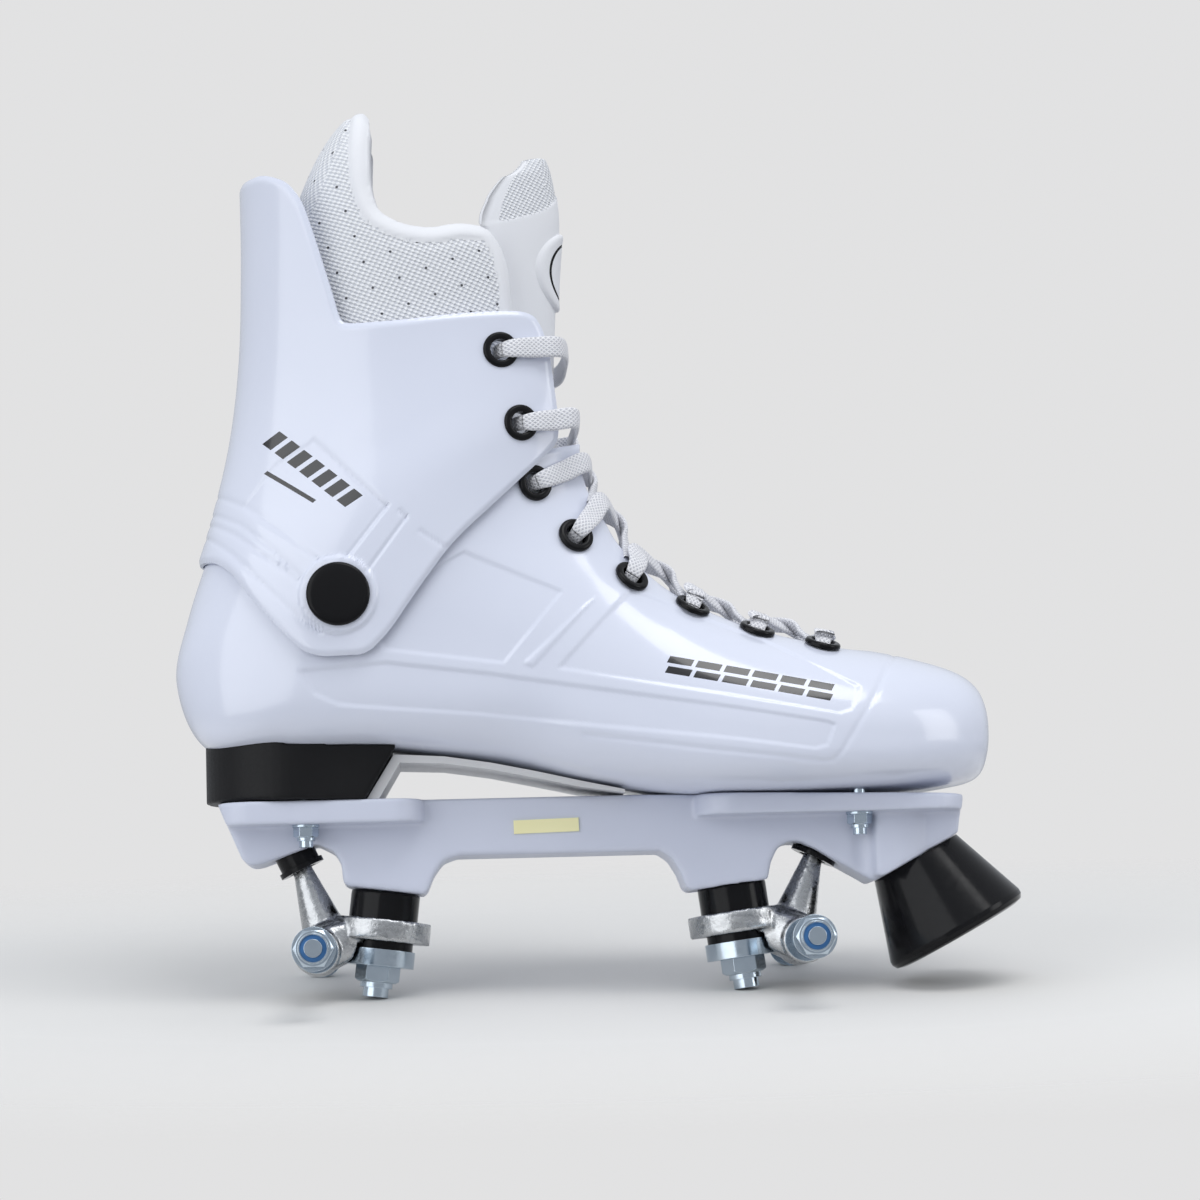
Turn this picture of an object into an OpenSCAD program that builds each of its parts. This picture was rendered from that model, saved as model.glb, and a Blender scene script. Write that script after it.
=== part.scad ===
// Right quad skate, size about EU 43 to 44: moulded boot with a pivoting cuff, padded
// inner boot, nylon plate, two steering trucks and a toe stop. The wheels are not fitted.
// X points to the toe, Y to the skater's left (medial) side and Z up. The origin is on the
// surface that the two kingpin ends stand on, under the middle of the skate.

/* [Boot] */
// Wall of the lower shell
shell_wall = 3; // [2.4:0.2:3.6]
// Wall of the cuff
cuff_wall = 2.7; // [2.5:0.1:3.4]
// Gap between the shell and the cuff around it
cuff_gap = 1.2; // [0.8:0.1:1.4]
// Padding of the inner boot
liner_pad = 6; // [4:0.5:7]
// Half the width of the throat that the laces close
throat_half = 17; // [15:0.5:19]
// Height of the cuff pivot
pivot_z = 145.6; // [144:0.2:147]
// Place of the cuff pivot along the boot
pivot_x = -95.3; // [-97:0.1:-94]
// How far the cuff leans forward when it flexes
flex_forward = 4; // [3:1:8]
// How far the cuff leans back when it flexes
flex_back = 3; // [1:1:4]

/* [Laces] */
// Outer radius of an eyelet
eyelet_r = 6.7; // [6:0.1:7]
// Radius of the hole in an eyelet
eyelet_hole_r = 4; // [3.6:0.1:4.2]
// Width of the flat lace
lace_w = 7.6; // [6:0.2:8]
// Thickness of the flat lace
lace_t = 1.5; // [1:0.1:1.8]

/* [Plate] */
// Distance between the axles
wheelbase = 180; // [178:1:182]
// Place of the middle of the wheelbase along the skate
plate_mid = -16.4; // [-17:0.1:-16]
// Height of the plate's top face under the heel block
plate_top = 72.4; // [72:0.1:73]
// Thickness of the plate's decks
deck_t = 8.6; // [8:0.2:9]
// Half the width of the decks
deck_half = 30; // [28:0.5:32]
// Half the width of the web between the trucks
web_half = 17; // [16:0.5:18]
// Radius of a plate mounting bolt
mount_bolt_r = 2.5; // [2.4:0.1:2.6]
// Distance from the centre line to a mounting bolt
mount_bolt_y = 22; // [21:0.5:23]

/* [Trucks] */
// Height of the axles
axle_z = 17.4; // [17:0.1:18]
// Radius of an axle where a wheel bearing sits
axle_r = 4; // [4:0.5:4]
// Radius of the core of the thread at an axle's ends
axle_thread_r = 3.3; // [3.2:0.05:3.4]
// Distance from the centre line to the inner end of a wheel seat
seat_in = 21.5; // [21:0.5:22]
// Distance from the centre line to the outer end of a wheel seat
seat_out = 55; // [54:0.5:56]
// Distance from the centre line to an axle's end
axle_end = 66.5; // [66:0.5:68]
// Distance along the skate from an axle back to the top of its kingpin
kingpin_dx = 25.8; // [25:0.2:26.6]
// Height of the face that the upper cushion presses on
boss_z = 39.2; // [38.8:0.1:39.6]
// Tilt of a kingpin, its lower end leaning outward
kingpin_tilt = 7.2; // [6.5:0.1:8]
// Radius of a kingpin
kingpin_r = 4.75; // [4.5:0.05:4.8]
// Free height of the upper cushion between the plate and the hanger
cushion_h = 10.3; // [10:0.1:10.6]
// Radius of the upper cushion
cushion_r = 12.8; // [12:0.1:13]
// Thickness of the hanger's ring
ring_t = 8; // [7.6:0.2:8.4]
// Outer radius of the hanger's ring
ring_r = 18; // [17:0.2:18.4]

/* [Toe stop] */
// Tilt of the toe stop, its face leaning forward
stop_tilt = 28.4; // [27:0.2:30]
// Radius of the toe stop at the plate
stop_top_r = 17.6; // [16:0.2:18]
// Radius of the toe stop at its face
stop_face_r = 27.6; // [27:0.2:28]
// Height of the toe stop
stop_h = 33; // [32:0.5:34]

/* [Hidden] */
$fn = 48;
far = 400;

// Sections of the boot from the toe tip over the foot and up the leg. Each one is
// [front x, front z, back x, back z, half width, place of the widest point from front to
// back, roundness of the back half, sideways shift]. The foot is level with the surface.
SECTIONS = [
    [146, 97, 145.8, 90, 5, 0.50, 2.2, 7],
    [144.6, 105.5, 144.6, 83, 19, 0.52, 2.4, 7],
    [140.5, 112.6, 141, 76.5, 29, 0.56, 2.6, 7],
    [131, 118, 131, 73.8, 38.5, 0.60, 3.0, 6],
    [112, 123.2, 112, 71.8, 47.5, 0.62, 3.4, 4.5],
    [84, 128.6, 84, 71.4, 52, 0.64, 3.6, 2],
    [54, 136.5, 54, 71.4, 52.5, 0.66, 3.6, 0],
    [28, 150, 24, 72.5, 50, 0.66, 3.4, 0],
    [11, 167, -6, 77, 47.5, 0.64, 3.2, 0],
    [5, 179, -38, 84.5, 45.5, 0.60, 3.0, 0],
    [1, 190, -78, 90.3, 45, 0.58, 4.2, 0],
    [0, 200, -118, 90.6, 45.5, 0.55, 4.2, 0],
    [0.5, 209, -146, 94, 46, 0.52, 3, 0],
    [1.5, 217, -156.8, 118, 46, 0.50, 2.3, 0],
    [2.5, 227, -152, 143, 45, 0.49, 2.2, 0],
    [3, 241, -141, 176, 42, 0.48, 2.2, 0],
    [3, 255, -132.5, 208, 40, 0.48, 2.2, 0],
    [3, 268, -128, 240, 39.5, 0.48, 2.2, 0],
    [2, 284, -126.5, 275, 40, 0.48, 2.2, 0],
    [2, 312, -126.5, 308, 41, 0.48, 2.2, 0],
    [2, 342, -126.5, 338, 41, 0.48, 2.2, 0]
];
FRONT_ROUND = 2.1;   // roundness of the front half of every section
SIDES = 28;          // points round a section

// The inner boot's collar, as sections of the same kind
COLLAR = [
    [-16, 212, -140, 172, 40, 0.48, 2.2, 0],
    [-14, 236, -130.5, 206, 38, 0.48, 2.2, 0],
    [-14, 256, -125, 240, 36.5, 0.48, 2.2, 0],
    [-17, 274, -119, 272, 36, 0.48, 2.2, 0],
    [-24, 290, -110, 296, 35, 0.50, 2.2, 0],
    [-38, 306, -101, 316, 31, 0.52, 2.2, 0],
    [-56, 322, -92, 328.5, 23, 0.54, 2.2, 0],
    [-74, 331.4, -84.5, 333.2, 9, 0.55, 2.2, 0]
];

// Eyelets on the lateral side from the top: [x, z, distance from the centre line, and the
// direction that the eyelet faces]. The first two are on the cuff, the others on the shell.
EYELETS = [
    [-34.3, 235.5, 40, [0.24, 0.97, 0.06]],
    [-27.6, 208.4, 39.8, [0.39, 0.92, 0]],
    [-22.8, 186.7, 34.4, [0.44, 0.89, 0.08]],
    [-8.2, 166.8, 33.7, [0.36, 0.85, 0.39]],
    [12, 151.3, 31, [0.5, 0.63, 0.59]],
    [34.6, 140.4, 24.6, [0.41, 0.4, 0.82]],
    [58.4, 131.3, 23, [0.29, 0.32, 0.9]],
    [82.7, 125.6, 21.5, [0.23, 0.29, 0.93]]
];
CUFF_ROWS = 2;

// Where the lace crosses the flap's edge in each row, and where it meets the tongue
LACE_EDGE = [
    [-11.5, 34.5, 237], [-6.5, 34.5, 210], [-2.6, 20, 196], [3.5, 20, 181.5],
    [16, 19, 163.5], [36.5, 17, 148.5], [60.3, 17, 138], [84, 17, 131.5]
];
LACE_MID = [
    [-9, 0, 238], [-8.5, 0, 205], [-1, 0, 190], [9, 0, 174],
    [26, 0, 159.5], [48, 0, 146], [72, 0, 137.5], [86, 0, 133.5]
];

// The direction that the lace's flat side faces over the tongue
LACE_UP = [
    [1, 0, 0], [1, 0, 0.1], [0.9, 0, 0.4], [0.8, 0, 0.6],
    [0.6, 0, 0.8], [0.4, 0, 0.9], [0.3, 0, 0.95], [0.25, 0, 0.97]
];

// The tongue's outer centre line from the toe up: [x, z, half width, drop at its edges,
// thickness]
TONGUE_LOWER = [
    [98, 117.5, 15, 1, 5], [84, 121.5, 16, 1.5, 5], [54, 129, 16, 2, 5],
    [28, 142, 16, 2.5, 5], [12.5, 156, 16, 3, 6], [2, 170, 16, 4, 6],
    [-5.5, 184, 16, 5, 6], [-11, 197, 16, 6, 6]
];
TONGUE_UPPER = [
    [-14, 213, 18, 14, 7], [-13.6, 232, 19, 19, 7], [-12.6, 250, 19.5, 23, 7],
    [-11.5, 269, 20, 25, 8], [-10, 288, 20, 25.5, 9], [-10.4, 300, 18.5, 21, 9],
    [-13, 310, 15, 13, 8], [-17, 316, 9, 4.5, 5]
];

// Side outlines, seen from the lateral side
CUFF_OUTLINE = [
    [-143.6, 162.6], [-135.6, 157], [-127.3, 145.4], [-114.8, 131.2], [-108.5, 125.2],
    [-102, 123.2], [-95.8, 123.3], [-85.1, 123.6], [-76.4, 132.6], [-67.6, 145.3],
    [-53.3, 164.3], [-34.7, 181.2], [-16.2, 198.4], [-13, 202.5], [-12.4, 209.6],
    [-14.6, 228.3], [-15.7, 236.9], [-18.1, 244.5], [-20.9, 249], [-26.6, 250.7],
    [-48.7, 249.3], [-70.8, 247.1], [-91.1, 246.4], [-93.5, 249], [-96.3, 259.5],
    [-102.5, 280.2], [-107.1, 294.1], [-112.8, 302], [-121.4, 306], [-128, 305.6],
    [-160, 306], [-160, 162.6]
];
SHELL_RIM = [[-170, 167.5], [-138, 167.5], [-110, 178], [-60, 190], [-16, 200], [40, 216]];
COLLAR_OUTLINE = [
    [-150, 174.5], [-95, 187], [-26, 214], [-27.5, 262], [-30, 276], [-36, 285], [-48, 285.6],
    [-59, 283], [-70, 285], [-78.5, 290], [-82, 300], [-82.5, 318], [-79, 345], [-150, 345]
];
PLATE_SIDE = [
    [-141.6, 72.4], [-138.6, 65], [-133, 51.8], [-130, 49.5], [-126.6, 49.8], [-120, 52],
    [-105.5, 57.2], [-99, 53.8], [-96.6, 49], [-96.1, 42.5], [-94, 41.2], [-66.6, 37.6],
    [-65, 39], [-62.5, 45], [-59, 49.6], [-54, 51.4], [21, 51.4], [25, 48.6], [28, 43.6],
    [30.2, 37.8], [32, 36.6], [60.4, 40], [61.6, 46], [64.2, 51.4], [68.4, 53.8],
    [72.4, 53.8], [79, 50.6], [84.6, 47], [99.6, 38.2], [131.4, 55.4], [133.6, 69.6],
    [14, 72.4]
];

flip_front = [2 * plate_mid, 0, 0];
front_axle_x = plate_mid + wheelbase / 2;
kingpin_top = [front_axle_x - kingpin_dx, 0, boss_z];
kingpin_l = boss_z / cos(kingpin_tilt);
washer_h = 6.2;
nut_h = 8;
ring_down = cushion_h + ring_t / 2;
ring_centre = kingpin_top + ring_down * [sin(kingpin_tilt), 0, -cos(kingpin_tilt)];
cup_tilt = 25.5;
cup_flange = [front_axle_x + 5.7, 0, 50];
ball = cup_flange + 5 * [sin(cup_tilt), 0, cos(cup_tilt)];
ball_r = 4.4;
stop_top = [117.1, 0, 47.3];
MOUNT_BOLTS = [[-109.3, 1], [-109.3, -1], [94.4, 1], [94.4, -1]];
boss_r = 11;
NUT_SIDES = [["right", -1], ["left", 1]];
white_shell = "#e4e6f6";
white_liner = "#f2f3f8";
white_plate = "#cfd2e4";
black_part = "#18191b";
zinc = "#b9c6cf";
cast_metal = "#b4b6ba";

// Where the head of a mounting bolt rests on the shell's floor
function head_z(b) = b[0] < 0 ? 94.2 : 76;

function power(v, e) = sign(v) * pow(abs(v), e);

// Points round one section, grown outward by off
function section_points(s, off) =
    let(chord = [s[2] - s[0], s[3] - s[1]], dir = chord / norm(chord),
        len = norm(chord) + 2 * off, half = s[4] + off)
    [for (k = [0 : SIDES - 1])
        let(a = 360 * k / SIDES, c = cos(a), e = c >= 0 ? 2 / FRONT_ROUND : 2 / s[6],
            reach = pow(abs(c), e),
            along = len * (c >= 0 ? s[5] * (1 - reach) : s[5] + (1 - s[5]) * reach) - off)
        [s[0] + dir[0] * along, s[7] + half * power(sin(a), e), s[1] + dir[1] * along]];

// A closed solid through a list of rings that all have the same number of points
module skin(rings) {
    n = len(rings[0]);
    m = len(rings);
    polyhedron(
        points = [for (r = rings) each r],
        faces = concat(
            [[for (k = [0 : n - 1]) k]],
            [for (i = [0 : m - 2], k = [0 : n - 1])
                let(j = (k + 1) % n) each [
                    [i * n + k, (i + 1) * n + k, (i + 1) * n + j],
                    [i * n + k, (i + 1) * n + j, i * n + j]
                ]],
            [[for (k = [n - 1 : -1 : 0]) (m - 1) * n + k]]
        ),
        convexity = 6
    );
}

module boot_form(off, first, last) {
    skin([for (i = [first : last]) section_points(SECTIONS[i], off)]);
}

// A side outline made into a block that reaches past both sides of the boot
module side_block(outline, half = 80) {
    rotate([90, 0, 0]) linear_extrude(2 * half, center = true) polygon(outline);
}

module both_sides() {
    children();
    mirror([0, 1, 0]) children();
}

// Turns +Z onto a direction and moves to a place
module face(place, dir) {
    translate(place)
        rotate([0, acos(dir[2] / norm(dir)), atan2(dir[1], dir[0])]) children();
}

function eyelet_place(i) = [EYELETS[i][0], -EYELETS[i][2], EYELETS[i][1]];
function eyelet_dir(i) =
    let(d = EYELETS[i][3]) [d[0], -d[1], d[2]] / norm(d);

module eyelet_bores(first, last) {
    for (i = [first : last])
        both_sides() face(eyelet_place(i), eyelet_dir(i))
            cylinder(h = 24, r = eyelet_hole_r + 0.6, center = true);
}

module eyelets(first, last) {
    for (i = [first : last])
        both_sides() face(eyelet_place(i) + 0.3 * eyelet_dir(i), eyelet_dir(i))
            difference() {
                union() {
                    cylinder(h = 1.6, r = eyelet_r);
                    translate([0, 0, -3]) cylinder(h = 4, r = eyelet_hole_r + 0.55);
                }
                cylinder(h = 20, r = eyelet_hole_r, center = true);
            }
}

// ---- Lower shell and what it holds ----

module throat_cut() {
    translate([0, -throat_half, 0]) rotate([90, 0, 0]) mirror([0, 0, 1])
        linear_extrude(2 * throat_half)
            polygon([[84, 112], [84, 200], [-60, 300], [-60, 160], [-20, 150], [20, 125]]);
    translate([84, 0, 110]) cylinder(h = 60, r = throat_half);
}

module pivot_cylinder(from, to, r) {
    both_sides() translate([pivot_x, -from, pivot_z]) rotate([90, 0, 0])
        cylinder(h = to - from, r = r);
}

module shell() {
    color(white_shell) difference() {
        union() {
            difference() {
                boot_form(0, 0, 16);
                boot_form(-shell_wall, 2, 17);
                side_block(concat(SHELL_RIM, [[40, far], [-170, far]]));
                throat_cut();
            }
            pivot_cylinder(40, 44.2, boss_r);
        }
        pivot_cylinder(30, 60, 3.1);
        pivot_cylinder(44.2, 60, 15);
        eyelet_bores(CUFF_ROWS, 7);
        for (b = MOUNT_BOLTS)
            translate([b[0], b[1] * mount_bolt_y, 60]) {
                cylinder(h = 40, r = mount_bolt_r + 0.1);
                translate([0, 0, head_z(b) - 60]) cylinder(h = 12, r = 5.2);
            }
        back_clearance();
    }
}

// Room at the back of the shell for the cuff's lower edge as it swings
module back_clearance() {
    for (a = [-flex_back, 0, flex_forward / 2, flex_forward])
        translate([pivot_x, 0, pivot_z]) rotate([0, a, 0]) translate([-pivot_x, 0, -pivot_z])
            intersection() {
                difference() {
                    boot_form(8, 11, 16);
                    boot_form(cuff_gap - 1, 10, 17);
                }
                side_block([[-175, 160.5], [-137, 156], [-114, 175], [-114, 190], [-175, 190]]);
            }
}

module sole_strip() {
    color("#dfe0e2") side_strip(
        [[-76.5, 88.6], [-58, 87.5], [-41, 84.8], [-25, 81.4], [-8, 77.4], [8, 73.9]],
        [[8, 72.8], [-8, 75.1], [-25, 78.9], [-41, 82.3], [-58, 84.9], [-74.4, 85.6],
         [-82.2, 72.6], [-86.6, 72.6]]
    );
}

module side_strip(upper, lower) {
    side_block(concat(upper, lower), 26);
}

module heel_block() {
    color(black_part) intersection() {
        side_block([[-151, 99], [-147, 73], [-87.2, 72.5], [-74.2, 94]]);
        translate([0, 0, 60]) linear_extrude(60) hull() {
            translate([-114.5, 0]) circle(r = 32, $fn = 64);
            translate([-60, 0]) square([20, 56], center = true);
        }
        difference() {
            translate([-112, 0, 86]) cube([90, 80, 29], center = true);
            boot_form(0.05, 8, 14);
            for (b = [0, 1])
                translate([MOUNT_BOLTS[b][0], MOUNT_BOLTS[b][1] * mount_bolt_y, 60])
                    cylinder(h = 40, r = mount_bolt_r + 0.1);
        }
    }
}

module footbed() {
    color("#d8d8dc") difference() {
        intersection() {
            boot_form(-shell_wall - 0.1, 3, 13);
            side_block([[126, 70], [126, 79.5], [24, 79.5], [-8, 84], [-40, 90], [-80, 97.4],
                        [-148, 97.4], [-148, 80]]);
        }
        for (b = MOUNT_BOLTS)
            translate([b[0], b[1] * mount_bolt_y, 60]) cylinder(h = 60, r = 5.4);
    }
}

module liner_foot() {
    color(white_liner) difference() {
        boot_form(-shell_wall - 0.4, 3, 15);
        boot_form(-shell_wall - 0.4 - liner_pad, 4, 16);
        side_block([[134, 60], [134, 80], [24, 80], [-8, 84.5], [-40, 90.5], [-80, 98],
                    [-160, 98], [-160, 60]]);
        side_block([[-170, 160], [-138, 160], [-60, 176], [-18, 186], [8, 182], [60, 300],
                    [-170, 300]]);
        translate([0, 0, 6]) throat_cut();
        translate([-10, 0, -7]) throat_cut();
        pivot_cylinder(30, 60, boss_r + 0.4);
    }
}

function band_normal(path, i) =
    let(a = path[max(i - 1, 0)], b = path[min(i + 1, len(path) - 1)],
        t = [b[0] - a[0], b[1] - a[1]] / norm([b[0] - a[0], b[1] - a[1]]))
    [t[1], -t[0]];

// A curved band along a centre line, which gives its outer face, and with a thickness
module band(path) {
    steps = 4;
    skin([for (i = [0 : len(path) - 1])
        let(p = path[i], n = -band_normal(path, i))
        concat(
            [for (j = [-steps : steps]) let(u = j / steps, d = -p[3] * u * u)
                [p[0] - n[0] * d, p[2] * u, p[1] - n[1] * d]],
            [for (j = [steps : -1 : -steps])
                let(u = j / steps, d = -p[4] - p[3] * u * u)
                [p[0] - n[0] * d, p[2] * u, p[1] - n[1] * d]]
        )]);
}

module tongue_lower() {
    color(white_liner) band(TONGUE_LOWER);
}

module tongue_upper() {
    color(white_liner) band(TONGUE_UPPER);
}

// An oval patch that lies on the tongue's front
module tongue_badge() {
    half_w = 12;
    half_h = 18;
    color("#eeeeee") band([for (a = [-75 : 15 : 75])
        let(z = 267 + half_h * sin(a), w = half_w * cos(a))
        [-10.2 + 0.068 * (z - 267), z, w, 25 * pow(w / 20, 2), 1.4]]);
}

module shell_eyelets() {
    color(black_part) eyelets(CUFF_ROWS, 7);
}

module cuff_eyelets() {
    color(black_part) eyelets(0, CUFF_ROWS - 1);
}

// ---- Laces ----

function mirror_y(p, side) = [p[0], side * p[1], p[2]];
function row_outside(i, side) =
    mirror_y(eyelet_place(i) + 3.6 * eyelet_dir(i), -side);
function row_edge(i, side) = mirror_y(LACE_EDGE[i], side);

// The two ends of the lace cross over the tongue, one lying on the other
function cross_lift(side) = [0, 0, side > 0 ? lace_t + 0.3 : 0];

// A flat ribbon through points, its flat side facing the direction given for each one
module lace_run(points, ups) {
    n = len(points);
    skin([for (i = [0 : n - 1])
        let(p = points[i], a = points[max(i - 1, 0)], b = points[min(i + 1, n - 1)],
            t = (b - a) / norm(b - a), w = cross(t, ups[i]) / norm(cross(t, ups[i])),
            h = cross(w, t))
        [for (q = [[-1, -1], [-1, 1], [1, 1], [1, -1]])
            p + q[0] * lace_w / 2 * w + q[1] * lace_t / 2 * h]]);
}

function side_up(i, side) = mirror_y(eyelet_dir(i), -side);
function edge_up(i, side) = side_up(i, side) + LACE_UP[i];

module lace_cross(i) {
    for (side = [-1, 1])
        lace_run([LACE_MID[i] + [4, -9 * side, -1] + cross_lift(side),
                  LACE_MID[i] + cross_lift(side), row_edge(i, side), row_outside(i, side)],
                 [LACE_UP[i], LACE_UP[i], edge_up(i, side), side_up(i, side)]);
}

module lace_bar(i) {
    lace_run([row_outside(i, -1), row_edge(i, -1), LACE_MID[i], row_edge(i, 1),
              row_outside(i, 1)],
             [side_up(i, -1), edge_up(i, -1), LACE_UP[i], edge_up(i, 1), side_up(i, 1)]);
}

module shell_laces() {
    color("white") {
        for (i = [CUFF_ROWS : 6]) lace_cross(i);
        lace_bar(7);
    }
}

module cuff_laces() {
    color("white") {
        lace_bar(0);
        lace_cross(1);
    }
}

// ---- Cuff and what moves with it ----

module cuff() {
    color(white_shell) difference() {
        union() {
            intersection() {
                difference() {
                    boot_form(cuff_gap + cuff_wall, 9, 19);
                    boot_form(cuff_gap, 8, 20);
                }
                side_block(CUFF_OUTLINE);
            }
            pivot_cylinder(45.4, 49.2, 13.7);
        }
        pivot_cylinder(30, 60, 6.5);
        pivot_cylinder(49.3, 60, 8.4);
        eyelet_bores(0, CUFF_ROWS - 1);
        eyelet_pockets();
    }
}

// Room inside the cuff for the shell's top eyelets as the cuff swings over them
module eyelet_pockets() {
    for (a = [-flex_forward : 1 : flex_back])
        translate([pivot_x, 0, pivot_z]) rotate([0, a, 0]) translate([-pivot_x, 0, -pivot_z])
            both_sides() face(eyelet_place(CUFF_ROWS), eyelet_dir(CUFF_ROWS))
                cylinder(h = 2.4, r = eyelet_r + 1);
}

module liner_collar() {
    color(white_liner) intersection() {
        difference() {
            skin([for (s = COLLAR) section_points(s, 0)]);
            skin(concat(
                [for (i = [0 : 5]) section_points(COLLAR[i], -liner_pad - 2.5)],
                [section_points([-40, 345, -77, 345, 26, 0.5, 2.2, 0], 0)]));
            skin([section_points(COLLAR[0] - [0, 6, 0, 6, 0, 0, 0, 0], -liner_pad - 2.5),
                  section_points(COLLAR[0] + [0, 2, 0, 2, 0, 0, 0, 0], -liner_pad - 2.5)]);
        }
        side_block(COLLAR_OUTLINE);
    }
}

module pivot_shoulder_bolts() {
    color(zinc) {
        pivot_cylinder(36, 45.2, 3);
        pivot_cylinder(45.2, 49.5, 5);
        pivot_cylinder(49.5, 51, 8);
    }
}

module pivot_bushes() {
    color("#e9e9e4") difference() {
        pivot_cylinder(45.3, 49.2, 6.5);
        pivot_cylinder(45, 50, 5.05);
    }
}

module pivot_caps() {
    color(black_part) difference() {
        pivot_cylinder(49.2, 53.2, 11.6);
        pivot_cylinder(49, 51.8, 9);
    }
}

// ---- Plate and its fasteners ----

module kingpin_frame() {
    translate(kingpin_top) rotate([0, -kingpin_tilt, 0]) children();
}

module at_rear() {
    translate(flip_front) mirror([1, 0, 0]) children();
}

module cup_frame() {
    translate(cup_flange) rotate([0, cup_tilt, 0]) children();
}

module truck_bores() {
    kingpin_frame() {
        cylinder(h = 25, r = kingpin_r + 0.05);
        translate([0, 0, -20]) cylinder(h = 20, r = 16);
    }
    cup_frame() {
        cylinder(h = 14, r = 7.6);
        translate([0, 0, -20]) cylinder(h = 20, r = 10);
    }
}

module deck(x1, x2, r) {
    translate([0, 0, plate_top - deck_t]) linear_extrude(deck_t) hull() {
        for (y = [-1, 1]) {
            translate([x1 + r, y * (deck_half - r)]) circle(r = r, $fn = 32);
            translate([x2 - r, y * (deck_half - r)]) circle(r = r, $fn = 32);
        }
    }
}

module plate() {
    color(white_plate) difference() {
        intersection() {
            union() {
                side_block(PLATE_SIDE, web_half);
                deck(-141.6, -66, 12);
                deck(34, 133.6, 14);
                translate([front_axle_x + 32, 0, 40]) cylinder(h = 40, r = 22);
            }
            side_block(PLATE_SIDE);
        }
        truck_bores();
        at_rear() truck_bores();
        for (b = MOUNT_BOLTS)
            translate([b[0], b[1] * mount_bolt_y, 40]) {
                cylinder(h = 40, r = mount_bolt_r + 0.1);
                cylinder(h = plate_top - deck_t - 40, r = 5.8);
            }
        translate(stop_top) rotate([0, -stop_tilt, 0]) {
            translate([0, 0, -30]) cylinder(h = 30, r = 30);
            cylinder(h = 19, r = 4);
        }
        boot_form(0.05, 3, 9);
    }
}

module mount_bolts() {
    color(zinc) for (b = MOUNT_BOLTS)
        translate([b[0], b[1] * mount_bolt_y, 0]) {
            translate([0, 0, head_z(b)]) cylinder(h = 2.2, r = 5);
            translate([0, 0, 55.4]) cylinder(h = head_z(b) - 55.3, r = mount_bolt_r);
        }
}

module mount_washers() {
    color(zinc) for (b = MOUNT_BOLTS)
        translate([b[0], b[1] * mount_bolt_y, plate_top - deck_t - 1]) difference() {
            cylinder(h = 1, r = 5);
            translate([0, 0, -1]) cylinder(h = 3, r = mount_bolt_r);
        }
}

module lock_nut(across, height, bore_r) {
    difference() {
        union() {
            intersection() {
                cylinder(h = height * 0.75, r = across / sqrt(3), $fn = 6);
                cylinder(h = height * 0.75, r1 = across / 2 + height, r2 = across / 2 - 0.2);
            }
            cylinder(h = height, r = across * 0.42);
        }
        translate([0, 0, -1]) cylinder(h = height + 2, r = bore_r);
    }
}

module mount_nuts() {
    color(zinc) for (b = MOUNT_BOLTS)
        translate([b[0], b[1] * mount_bolt_y, plate_top - deck_t - 1]) mirror([0, 0, 1])
            lock_nut(8, 5, mount_bolt_r);
}

module side_label() {
    color("#f3efb4") translate([-21, -web_half - 0.3, 61.6]) rotate([0, -1.2, 0])
        cube([24, 0.6, 5], center = true);
}

// ---- Trucks: every piece is drawn at the front and mirrored to the rear ----

module kingpin() {
    color(zinc) kingpin_frame() {
        translate([0, 0, -kingpin_l + 0.6]) cylinder(h = kingpin_l + 21.4, r = kingpin_r);
    }
}

module upper_cushion() {
    color(black_part) kingpin_frame() difference() {
        translate([0, 0, -cushion_h - 1.4]) cylinder(h = cushion_h + 1.4, r = cushion_r);
        translate([0, 0, -30]) cylinder(h = 40, r = kingpin_r);
    }
}

module lower_cushion() {
    color(black_part) kingpin_frame() difference() {
        translate([0, 0, -cushion_h - ring_t - 6.8]) cylinder(h = 8.2, r = 12);
        translate([0, 0, -60]) cylinder(h = 60, r = kingpin_r);
    }
}

module cup_washer() {
    color(zinc) kingpin_frame() difference() {
        translate([0, 0, -cushion_h - ring_t - 3 - washer_h]) cylinder(h = washer_h, r = 13.1);
        translate([0, 0, -cushion_h - ring_t - 6.8]) cylinder(h = 10, r = 12);
        translate([0, 0, -60]) cylinder(h = 60, r = kingpin_r);
    }
}

module kingpin_nut() {
    color(zinc) kingpin_frame()
        translate([0, 0, -cushion_h - ring_t - 3 - washer_h]) mirror([0, 0, 1])
            lock_nut(14.3, nut_h, kingpin_r);
}

module pivot_cup() {
    color(black_part) cup_frame() difference() {
        union() {
            cylinder(h = 13.5, r = 7.6);
            translate([0, 0, -1.9]) cylinder(h = 1.9, r = 8.6);
        }
        translate([0, 0, 5]) sphere(r = ball_r + 0.05);
        translate([0, 0, -3]) cylinder(h = 8, r = ball_r + 0.9);
    }
}

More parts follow.
